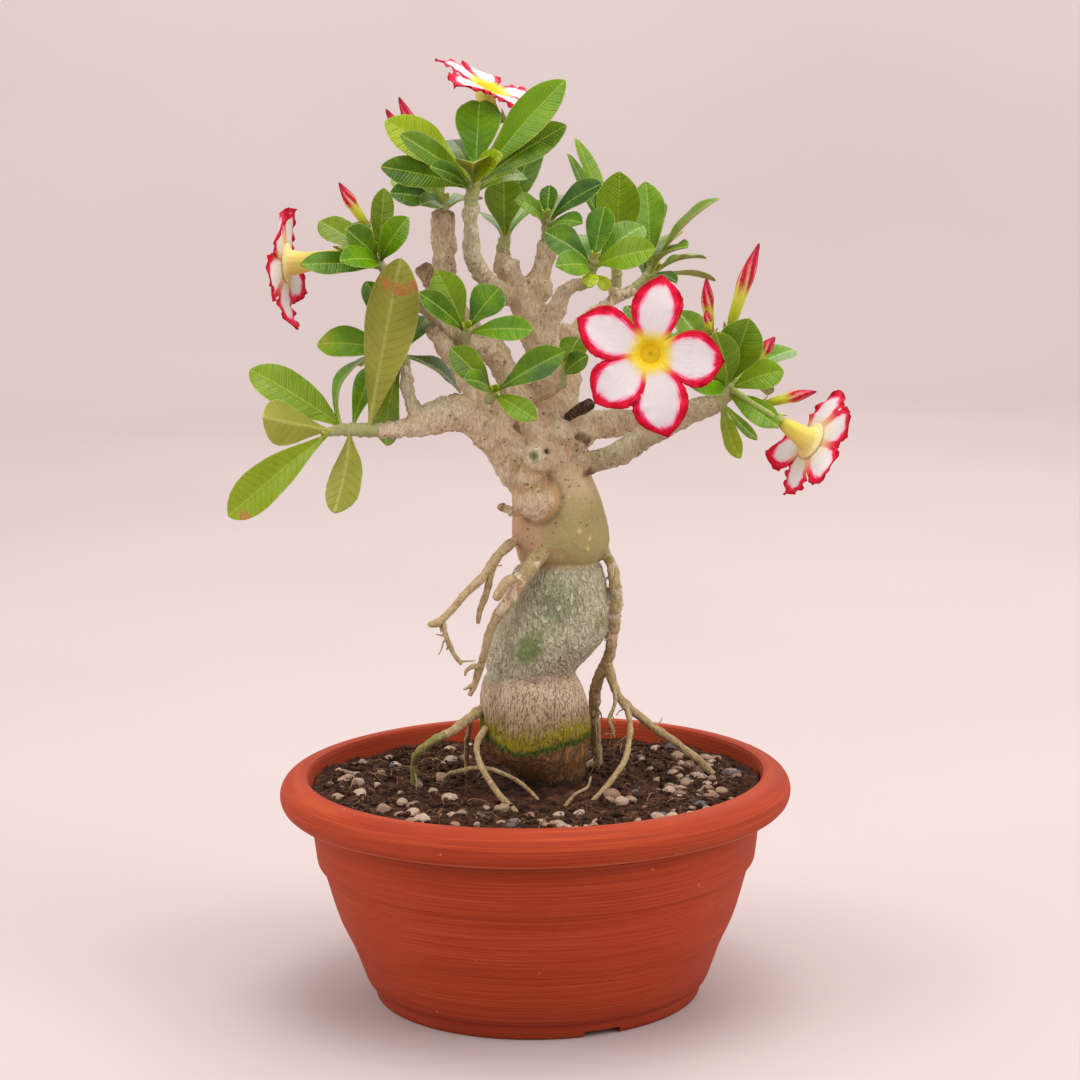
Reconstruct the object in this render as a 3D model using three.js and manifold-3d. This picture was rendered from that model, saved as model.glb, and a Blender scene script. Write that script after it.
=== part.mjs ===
// Potted desert rose (adenium): a swollen, waisted trunk with pruned limbs and hanging roots,
// leafy shoots, four open blooms and their buds, in a round plastic bowl of soil and pumice.
// Millimetres, +Z up, the origin on the floor under the middle of the bowl; -Y is the front.
import * as THREE from 'three';
import { mergeVertices } from 'three/addons/utils/BufferGeometryUtils.js';
import Module from 'manifold-3d';

const wasm = await Module();
wasm.setup();

// ---- Driving dimensions ----

const gap = 0.4; // clearance between pieces that touch

const bowl = {
  sides: 32,
  // [radius, height] up the outside, over the rolled lip and down the inside
  outside: [[0, 3], [74, 3], [75.5, 0], [79.8, 0], [80.8, 6.5], [84.9, 11], [90.8, 27], [97.7, 42.4],
    [104.8, 67.2], [107.8, 72], [112.2, 105.2]],
  lip: [[119.6, 106], [122.3, 101], [119.3, 95.6], [121, 94.6], [125, 100.8], [122.8, 107.9],
    [113.4, 111.4]],
  inside: [[110.6, 109], [105.2, 72.6], [102.2, 66.6], [95, 41.5], [88, 27], [76.6, 5.5], [0, 5.5]],
  notchWidth: 18,
  notchHeight: 3,
  notchAngle: -67.7,
  drainRadius: 4.5,
  drainCircle: 46,
};

const soilBed = { level: 103, rings: [99, 78, 52, 26], rimRadius: 110, holeClearance: 0.5, bottom: 6 };

const pebbleRule = { count: 18, smallest: 2.6, largest: 4.4, sunk: 0.35, seed: 7 };

const leafShape = {
  thickness: 0.9,
  foldDegrees: 16,
  frontTilt: 52,
  tiltPerDepth: 0.85,
  mostTilt: 64,
  smallBelow: 16, // leaves narrower than this have fewer stations
  small: { along: [0, 0.42, 0.78, 1], halfWidth: [0, 0.66, 0.98, 0] },
  large: { along: [0, 0.34, 0.64, 0.88, 1], halfWidth: [0, 0.52, 1, 0.76, 0] },
};

const lobeShape = {
  thickness: 0.9,
  along: [0.24, 0.52, 0.8, 1],
  halfWidth: [0.74, 1, 0.8, 0],
  skew: 0.14, // how far the tip lies clockwise of the middle, as a share of the reach
  lift: 5,
  curl: 6.5,
  tilt: 0.9,
  wave: 0.8,
};

const collar = { inner: 5.3, outer: 7.6, lobeDegrees: 28 };

const tubeShape = {
  sides: 8, along: [0, 0.25, 0.6, 1], radius: [1.4, 3.3, 4.5, 5.3], mouth: 6.3, mouthLength: 1.6, wall: 0.9,
};

// Radii and heights of the little cup under a bloom, over its foot
const calyxShape = {
  foot: 2.5, tip: 4.7, tipHeight: 3.3, valley: 3, valleyHeight: 0.8, inside: 1.85, under: 1.1,
};

const budShape = {
  sides: 8,
  along: [0, 0.14, 0.4, 0.58, 0.74, 0.9, 1],
  radius: [0.36, 0.68, 0.84, 0.98, 0.8, 0.42, 0.14],
  flute: 0.07,
  twist: 1.5,
  calyxPerRadius: 0.29,
};

const stalkRadius = 1.6;
const leafStart = 0.5; // how far out in the stem a leaf starts, as a share of the stem's radius

// ---- Finishes ----

const finish = (color, roughness) => new THREE.MeshStandardMaterial({ color, roughness, metalness: 0 });
const terracotta = finish(0xa34126, 0.55);
const earth = finish(0x4a342a, 0.95);
const bark = finish(0xb3a184, 0.8);
const leafGreen = finish(0x3f7d23, 0.35);
const tubeYellow = finish(0xe3c94a, 0.5);
const lobeWhite = finish(0xf3dfe2, 0.5);
const budRed = finish(0xb23a45, 0.5);

// ---- Meshes and solids ----

const vector = (p) => new THREE.Vector3(p[0], p[1], p[2]);
const up = new THREE.Vector3(0, 0, 1);

function geometryOf(vertices, triangles) {
  const geometry = new THREE.BufferGeometry();
  const positions = vertices.flatMap((v) => [v.x, v.y, v.z]);
  geometry.setAttribute('position', new THREE.Float32BufferAttribute(positions, 3));
  geometry.setIndex(triangles.flat());
  return geometry;
}

function solidOf(geometry) {
  const bare = geometry.clone();
  bare.deleteAttribute('normal');
  bare.deleteAttribute('uv');
  const merged = mergeVertices(bare, 1e-4);
  const vertProperties = new Float32Array(merged.attributes.position.array);
  const triVerts = new Uint32Array(merged.index.array);
  return new wasm.Manifold(new wasm.Mesh({ numProp: 3, vertProperties, triVerts }));
}

const fuse = (solids) => solids.reduce((whole, solid) => whole.add(solid));

// The body that is left when the scraps cut loose from it are dropped
function mainBody(solid) {
  return solid.decompose().reduce((best, piece) => (piece.volume() > best.volume() ? piece : best));
}

function meshOf(name, solid, material) {
  const { vertProperties, triVerts } = mainBody(solid).getMesh();
  const geometry = new THREE.BufferGeometry();
  geometry.setAttribute('position', new THREE.BufferAttribute(vertProperties, 3));
  geometry.setIndex(new THREE.BufferAttribute(triVerts, 1));
  const mesh = new THREE.Mesh(geometry, material);
  mesh.name = name;
  return mesh;
}

// ---- Round things that follow a route of [x, y, z, radius] stations ----

// Rings square to the route, turned as little as possible from each to the next
function ringsAlong(stations) {
  const points = stations.map(vector);
  let side = null;
  return points.map((centre, i) => {
    const before = points[Math.max(i - 1, 0)];
    const after = points[Math.min(i + 1, points.length - 1)];
    const tangent = after.clone().sub(before).normalize();
    if (!side) side = new THREE.Vector3(0.31, -0.95, 0.05);
    side = side.clone().addScaledVector(tangent, -side.dot(tangent)).normalize();
    return { centre, tangent, side, across: tangent.clone().cross(side), radius: stations[i][3] };
  });
}

// The closed skin over rows of points. It runs from the point `first` over the rows to the point
// `last`; without them the last row joins back to the first.
function closedSkin(rows, first, last) {
  const sides = rows[0].length;
  const vertices = rows.flat();
  const triangles = [];
  const id = (i, j) => (i % rows.length) * sides + (j % sides);
  for (let i = 0; i < rows.length - (first ? 1 : 0); i++) {
    for (let j = 0; j < sides; j++) {
      triangles.push([id(i, j), id(i, j + 1), id(i + 1, j + 1)]);
      triangles.push([id(i, j), id(i + 1, j + 1), id(i + 1, j)]);
    }
  }
  if (first) {
    const firstId = vertices.push(first) - 1;
    const lastId = vertices.push(last) - 1;
    for (let j = 0; j < sides; j++) {
      triangles.push([firstId, id(0, j + 1), id(0, j)]);
      triangles.push([lastId, id(rows.length - 1, j), id(rows.length - 1, j + 1)]);
    }
  }
  return solidOf(geometryOf(vertices, triangles));
}

// Points round a ring. `flute` pushes every other one out and its neighbours in.
function ringPoints({ centre, side, across, radius }, sides, flute = 0, turn = 0) {
  return Array.from({ length: sides }, (_, j) => {
    const angle = (2 * Math.PI * j) / sides + turn;
    const reach = radius * (1 + (j % 2 ? -flute : flute));
    return centre.clone().addScaledVector(side, reach * Math.cos(angle))
      .addScaledVector(across, reach * Math.sin(angle));
  });
}

function limb(route, sides) {
  const rows = ringsAlong(route).map((ring) => ringPoints(ring, sides));
  return closedSkin(rows, vector(route[0]), vector(route[route.length - 1]));
}

const swollen = (route, more) => route.map(([x, y, z, radius]) => [x, y, z, radius + more]);

// ---- Thin sheets ----

// A plate of constant thickness, measured along `normal`, whose two faces share one net of triangles
function plate(points, faces, normal, thickness) {
  const count = points.length;
  const shifted = (by) => points.map((p) => p.clone().addScaledVector(normal, by));
  const vertices = [...shifted(thickness / 2), ...shifted(-thickness / 2)];
  const edges = new Map();
  faces.forEach(([a, b, c]) => [[a, b], [b, c], [c, a]].forEach(([from, to]) => {
    if (!edges.delete(`${to} ${from}`)) edges.set(`${from} ${to}`, [from, to]);
  }));
  const triangles = [...faces, ...faces.map(([a, b, c]) => [a + count, c + count, b + count])];
  edges.forEach(([from, to]) => {
    triangles.push([from, from + count, to + count], [from, to + count, to]);
  });
  return solidOf(geometryOf(vertices, triangles));
}

// The triangles between two rows of points, given by their numbers; the later row may be one point
function bridge(row, next) {
  if (next.length === 1) return row.slice(1).map((id, j) => [row[j], id, next[0]]);
  if (row.length === 1) return next.slice(1).map((id, j) => [row[0], id, next[j]]);
  return row.slice(1).flatMap((id, j) => [[row[j], id, next[j + 1]], [row[j], next[j + 1], next[j]]]);
}

// The way a leaf's upper face looks. Leaves turn it up and away from the plant's middle plane, and
// `turn` tilts it further forwards, in degrees; a leaf that is twisted gives the way itself.
function faceOf(forward, tip, turn) {
  const tilt = Math.min(leafShape.frontTilt - leafShape.tiltPerDepth * tip.y, leafShape.mostTilt);
  const angle = THREE.MathUtils.degToRad(tilt + (Array.isArray(turn) ? 0 : turn));
  const wanted = Array.isArray(turn) ? turn : [0, -Math.sin(angle), Math.cos(angle)];
  return vector(wanted).projectOnPlane(forward).normalize();
}

// A leaf, pointed at both ends, folded a little along its midrib and arched by `sag` towards its
// upper face
function leaf({ base, tip, width, sag, face }) {
  const forward = tip.clone().sub(base).normalize();
  const across = forward.clone().cross(face);
  const fold = THREE.MathUtils.degToRad(leafShape.foldDegrees);
  const { along, halfWidth } = width < leafShape.smallBelow ? leafShape.small : leafShape.large;
  const points = [];
  const rows = along.map((t, i) => {
    const midrib = base.clone().lerp(tip, t).addScaledVector(face, 4 * sag * t * (1 - t));
    const half = (width / 2) * halfWidth[i];
    const sides = half > 0 ? [-1, 0, 1] : [0];
    return sides.map((side) => points.push(midrib.clone()
      .addScaledVector(across, side * half * Math.cos(fold))
      .addScaledVector(face, Math.abs(side) * half * Math.sin(fold))) - 1);
  });
  const faces = rows.slice(1).flatMap((row, i) => bridge(rows[i], row));
  return plate(points, faces, face, leafShape.thickness);
}

// ---- Bowl ----

function lathe(profile, sides) {
  const points = profile.map(([radius, z]) => new THREE.Vector2(radius, z));
  return new THREE.LatheGeometry(points, sides).rotateX(Math.PI / 2);
}

function makeBowl() {
  const footRadius = bowl.outside[3][0];
  let solid = solidOf(lathe([...bowl.outside, ...bowl.lip, ...bowl.inside], bowl.sides));
  for (let k = 0; k < 3; k++) {
    const notch = new THREE.BoxGeometry(20, bowl.notchWidth, 2 * bowl.notchHeight);
    notch.translate(footRadius, 0, 0);
    notch.rotateZ(THREE.MathUtils.degToRad(bowl.notchAngle + 120 * k));
    solid = solid.subtract(solidOf(notch));
  }
  for (let k = 0; k < 5; k++) {
    const drain = new THREE.CylinderGeometry(bowl.drainRadius, bowl.drainRadius, 20, 8);
    drain.rotateX(Math.PI / 2);
    const angle = (2 * Math.PI * k) / 5 + 0.2;
    drain.translate(bowl.drainCircle * Math.cos(angle), bowl.drainCircle * Math.sin(angle), 0);
    solid = solid.subtract(solidOf(drain));
  }
  return meshOf('bowl', solid, terracotta);
}

// ---- Trunk, limbs and roots ----

const trunk = [
  [9, 6, 72, 12], [8.5, 8, 98, 15], [4, 8, 106, 20], [1.5, 8, 114.5, 24.5], [0, 8, 123.5, 27],
  [0.5, 8, 131, 27.5], [0, 8, 141, 26.5], [-1, 8, 150, 25], [-1.5, 8, 158, 22.5], [2, 8, 165.5, 25],
  [7, 8, 175, 27.3], [9.5, 8, 184, 27], [11, 8, 195, 25.8], [12.6, 8, 206, 22.8],
  [13.5, 8, 212.8, 20], [14.6, 8, 219, 22.2], [14, 8, 226, 23.4],
  [12.5, 8, 243, 21.5], [11, 8, 252, 19.5], [10, 9, 262, 15.5], [9.5, 10, 270, 9],
];

const limbs = {
  leftLow: [[3, 6, 252, 12], [-12.5, 3, 269, 10], [-21, 1, 278.5, 9.4], [-29, -1, 285.5, 9.2],
    [-37.5, -3, 287.5, 8.8], [-45.5, -5, 285, 7.8], [-53.5, -7, 282.5, 6], [-62, -9, 281, 4.2],
    [-72.5, -12, 280.5, 3.9]],
  leftTwig: [[-53, -7, 282, 5], [-56.5, -8, 293.5, 3.2], [-58.5, -9.5, 302, 2.9], [-59, -10, 311.5, 2.7]],
  leftLeader: [[9.5, 8, 262, 14], [2.5, 10, 279.5, 12], [-5, 13, 292, 9], [-10.5, 15, 303, 6.5],
    [-18, 16, 315.5, 6.8], [-28.5, 17, 324, 5.8], [-39.5, 20, 339.5, 6], [-50.5, 22, 355, 4.8]],
  leftReach: [[-18, 13, 314, 5], [-32.5, 6, 320.5, 4.4], [-42, 1, 330.5, 4.4], [-50.5, -4, 340.5, 3.9],
    [-60.5, -8.5, 349.5, 2.9], [-64, -10, 352.5, 2.7]],
  leftStub: [[-12, 6, 280, 4.4], [-24.5, 1, 293.5, 4.5], [-35.5, -4, 311.5, 4.3], [-46.5, -9, 328, 3.2]],
  cutStub: [[-39.5, 17, 338, 5], [-40.5, 11, 352, 5], [-40.5, 10, 366, 5.4], [-40.5, 10, 380.5, 5.8]],
  crownStem: [[-8, 15, 341, 5], [-13.5, 12, 344, 4.6], [-21, 8, 351.5, 4.5], [-26, 2, 360, 4.3],
    [-27, -2, 372, 4], [-26.5, -4, 385, 3.9]],
  centreLeader: [[10, 10, 262, 13], [9.5, 14, 291, 8.8], [7.5, 15, 310.5, 7.6], [4.5, 16, 322.5, 8.4],
    [-1.5, 17, 337, 7.6], [-7, 18, 348, 6.2], [-11, 20, 355, 5.2],
    [-12, 23, 361, 3.8]],
  centreFork: [[-2.5, 18, 338, 6], [3.5, 20, 348, 5.6], [8, 22, 358, 5.2], [9.5, 23, 365, 4.8]],
  shortSpur: [[7.5, 14, 322.5, 5.9], [12.5, 10, 333.5, 4.4], [16.5, 6, 343, 3.6], [20, 4, 346.5, 3.1],
    [26, 2, 347.5, 2.7]],
  backLeader: [[13, 16, 262, 10], [16, 26, 289.5, 7.6], [17.5, 32, 308.5, 7.1], [19, 36, 323, 6.6]],
  backReach: [[18, 34, 316, 5], [30, 44, 329, 3.6], [40.5, 49.5, 335.5, 3.1], [43, 48.5, 343, 2.9]],
  farReach: [[33, 46, 331, 3], [43, 50.5, 337, 2.9], [51.5, 53, 341.5, 2.8]],
  rightBack: [[13, 12, 265, 9], [26.5, 20, 275.5, 7.6], [35.5, 22, 278, 6.4], [49, 24, 278.5, 6],
    [61, 25.5, 280.5, 5], [66, 25, 284.5, 4.4], [66.5, 23.5, 291, 3.8]],
  rightFront: [[13, 8, 257, 9], [28.5, 2, 262, 6.2], [40.5, -3, 266, 5.7], [52.5, -7, 273.5, 5.6],
    [64.5, -10, 281, 5.8], [76, -12, 287, 5.8], [88.5, -13, 291.5, 4.8]],
  frontSpur: [[-30, 9, 320, 4], [-30.5, -1, 321.5, 3.2]],
  lowSpur: [[-17, 6, 288, 4], [-19.3, -5, 293, 3.2]],
  thinTwig: [[0, 12, 291, 2.4], [2.5, 3, 292, 1.8], [8.5, 0, 295.5, 1.8], [15, -3, 299.5, 1.8]],
  driedPod: [[18, 8, 283, 2], [22, 0, 286.5, 2.6], [29, -4, 291, 3]],
  trunkSpur: [[2, -5, 242, 3], [-6, -10, 240, 2.2], [-15.5, -13, 243, 1.5]],
};

// Rounded swellings: [x, y, z, radius]
const knobs = [
  [4.6, -17, 267.5, 8.1], [0.4, -14, 257, 7.5], [2.3, -12.5, 246.5, 10.2],
  [-21.5, 9, 316.5, 5.2], [-41, -7, 286, 6.8],
  [15.5, 1, 276, 6.4], [22, 4, 268, 5], [-9, 15, 355, 4.6], [5, 20, 345, 6.6],
];

const roots = {
  leftHanging: [[-1, 4, 227, 3.4], [-9, -5, 224.5, 3.1], [-16.5, -9, 218.5, 3], [-22, -14, 211, 2.8],
    [-31.5, -20, 203, 2.5], [-40, -26, 194, 2.3], [-45.5, -30, 190, 2.4], [-49, -33, 190, 1.8]],
  leftTail: [[-43, -28, 191, 1.6], [-41.5, -29, 184.5, 1.3], [-40, -28, 179, 1.3], [-38, -27, 175, 1.2],
    [-34.5, -26, 169.5, 1.1]],
  leftSide: [[-19, -11, 214, 2], [-22, -15, 202, 1.7], [-24, -16, 197, 1.6], [-26.5, -17, 187.5, 1.1]],
  frontHugging: [[7, -9, 223, 4.2], [1, -14, 216, 4.4], [-6.5, -16.5, 206.5, 4.1], [-11.5, -17.5, 198.5, 3.6],
    [-17, -17, 190.5, 3], [-20.5, -16, 183.5, 2.5], [-23.5, -14, 173, 2.3], [-25.5, -12, 165, 2.4],
    [-28, -11, 158, 2], [-31, -11, 151, 1.3]],
  frontBroken: [[-5, -16, 207, 3.4], [-11.5, -22, 209, 3], [-15.5, -24, 204, 2.6],
    [-17.5, -25, 200.5, 2.2]],
  rightHanging: [[30, 8, 225, 4], [36, 5, 216, 3.1], [39.5, 3, 207.5, 3.2], [40.5, 3, 194.5, 3.4],
    [39.5, 6, 181, 3.5], [37.5, 10, 167.5, 3.2], [34.5, 16, 157, 3]],
  rightBehind: [[36, 12, 162, 3], [31.5, 21, 150, 3], [30, 26, 140, 3], [30, 30, 128, 3],
    [31, 34, 114, 2.6], [31.5, 37, 92, 2.2]],
  rightFar: [[36, 13, 163, 2.6], [39, 15, 150.5, 2.3], [42, 15, 143.5, 2.1], [47, 15, 137.5, 2.1],
    [54, 15.5, 131.5, 2.1], [62, 16, 125, 2.1], [72, 17, 117.5, 2], [82, 18, 109, 2], [92, 18.5, 98, 1.8]],
  rightNear: [[42, 15, 143, 1.7], [46.5, 8, 135, 1.5], [46.5, 0, 127, 1.4], [44, -10, 118, 1.4],
    [36, -22, 109, 1.4], [27, -30, 101, 1.4], [21, -35, 93, 1.3]],
  rightRootlet: [[38.5, 15, 152, 1.2], [40, 10, 143, 1.1], [37, 8, 134, 1], [39, 6, 127, 0.9]],
  leftLow: [[-19, 5, 144, 3.4], [-27, 1, 140, 2.7], [-33.5, -5, 136.5, 2.4], [-41.5, -10, 132, 2.1],
    [-50, -12, 128, 2], [-56, -9, 122.5, 2], [-59, 0, 114, 1.9], [-60.5, 7, 96, 1.6]],
  leftThin: [[-31, -3, 138, 1.6], [-32.5, 8, 128, 1.3], [-34, 20, 116, 1.3], [-34, 28, 96, 1.2]],
  frontLow: [[-24, -6, 133, 1.8], [-28, -13, 125, 1.5], [-24, -25, 115, 1.5], [-16, -36, 106, 1.5],
    [-9, -45, 100, 1.4], [-8, -56, 94, 1.3]],
};

const trunkSides = 16;
const largeKnob = 6;
const rootSides = 5;
const rootedInSoil = ['rightBehind', 'rightFar', 'rightNear', 'leftLow', 'leftThin', 'frontLow'];

function ball([x, y, z, radius]) {
  return solidOf(new THREE.IcosahedronGeometry(radius, radius > largeKnob ? 1 : 0).translate(x, y, z));
}

function makePlant() {
  const solid = fuse([
    limb(trunk, trunkSides),
    ...Object.values(limbs).map((route) => limb(route, route[0][3] > 7 ? 9 : 6)),
    ...knobs.map(ball),
    ...Object.values(roots).map((route) => limb(route, rootSides)),
  ]);
  return meshOf('plant', solid, bark);
}

// ---- Soil ----

function seededRandom(seed) {
  let state = seed;
  return () => {
    state = (state * 16807) % 2147483647;
    return state / 2147483647;
  };
}

// The height of the soil: gentle mounds, a little higher along the left and right of the bowl
function soilHeight(x, y) {
  const mounds = 1.3 * Math.sin(0.062 * x + 0.7) * Math.cos(0.055 * y - 0.4);
  const ripples = 0.8 * Math.sin(0.13 * x - 0.11 * y);
  return soilBed.level - 1 + mounds + ripples + 2.4 * (x / 110) ** 2 - 1.2 * (y / 110) ** 2;
}

// The bowl's inner radius at a height
function insideRadius(height) {
  const below = bowl.inside.findIndex((point) => point[1] <= height);
  const [lowRadius, low] = bowl.inside[below];
  const [highRadius, high] = bowl.inside[below - 1];
  return lowRadius + ((highRadius - lowRadius) * (height - low)) / (high - low);
}

function bedSolid() {
  const { bottom, rimRadius, rings } = soilBed;
  const row = (radiusAt, heightAt) => Array.from({ length: bowl.sides }, (_, j) => {
    const angle = (2 * Math.PI * j) / bowl.sides;
    const [x, y] = [Math.cos(angle), Math.sin(angle)];
    const height = heightAt(x, y);
    const radius = radiusAt(height);
    return new THREE.Vector3(radius * x, radius * y, height);
  });
  const wall = (height) => insideRadius(height) - gap;
  return closedSkin([
    row((height) => wall(height) - gap, () => bottom),
    ...bowl.inside.slice(1, -2).reverse().map(([, height]) => row(wall, () => height)),
    row(wall, (x, y) => soilHeight(rimRadius * x, rimRadius * y)),
    ...rings.map((radius) => row(() => radius, (x, y) => soilHeight(radius * x, radius * y))),
  ], new THREE.Vector3(0, 0, bottom), new THREE.Vector3(0, 0, soilHeight(0, 0)));
}

// Pumice pebbles, squashed and turned at random, mostly along the front and the right
function pebbles() {
  const random = seededRandom(pebbleRule.seed);
  const stones = [];
  while (stones.length < pebbleRule.count) {
    const angle = 2 * Math.PI * random();
    const reach = 34 + 68 * Math.sqrt(random());
    const x = reach * Math.cos(angle);
    const y = reach * Math.sin(angle);
    const size = pebbleRule.smallest + (pebbleRule.largest - pebbleRule.smallest) * random() ** 2;
    const turn = random() * Math.PI;
    const flat = 0.6 + 0.25 * random();
    const wanted = y < -20 || x > 40 || random() < 0.25;
    if (!wanted || reach > 105 - size) continue;
    const stone = new THREE.IcosahedronGeometry(size, 0).scale(1.15, 0.85, flat).rotateX(0.3).rotateZ(turn);
    stones.push(solidOf(stone.translate(x, y, soilHeight(x, y) + size * flat * (0.5 - pebbleRule.sunk))));
  }
  return stones;
}

function makeSoil() {
  const holes = [limb(swollen(trunk.slice(0, 4), soilBed.holeClearance), trunkSides)];
  rootedInSoil.forEach((name) => holes.push(limb(swollen(roots[name], soilBed.holeClearance), rootSides)));
  const bed = fuse([bedSolid(), ...pebbles()]);
  return meshOf('soil', bed.subtract(fuse(holes)), earth);
}

// ---- Leafy shoots ----

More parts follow.
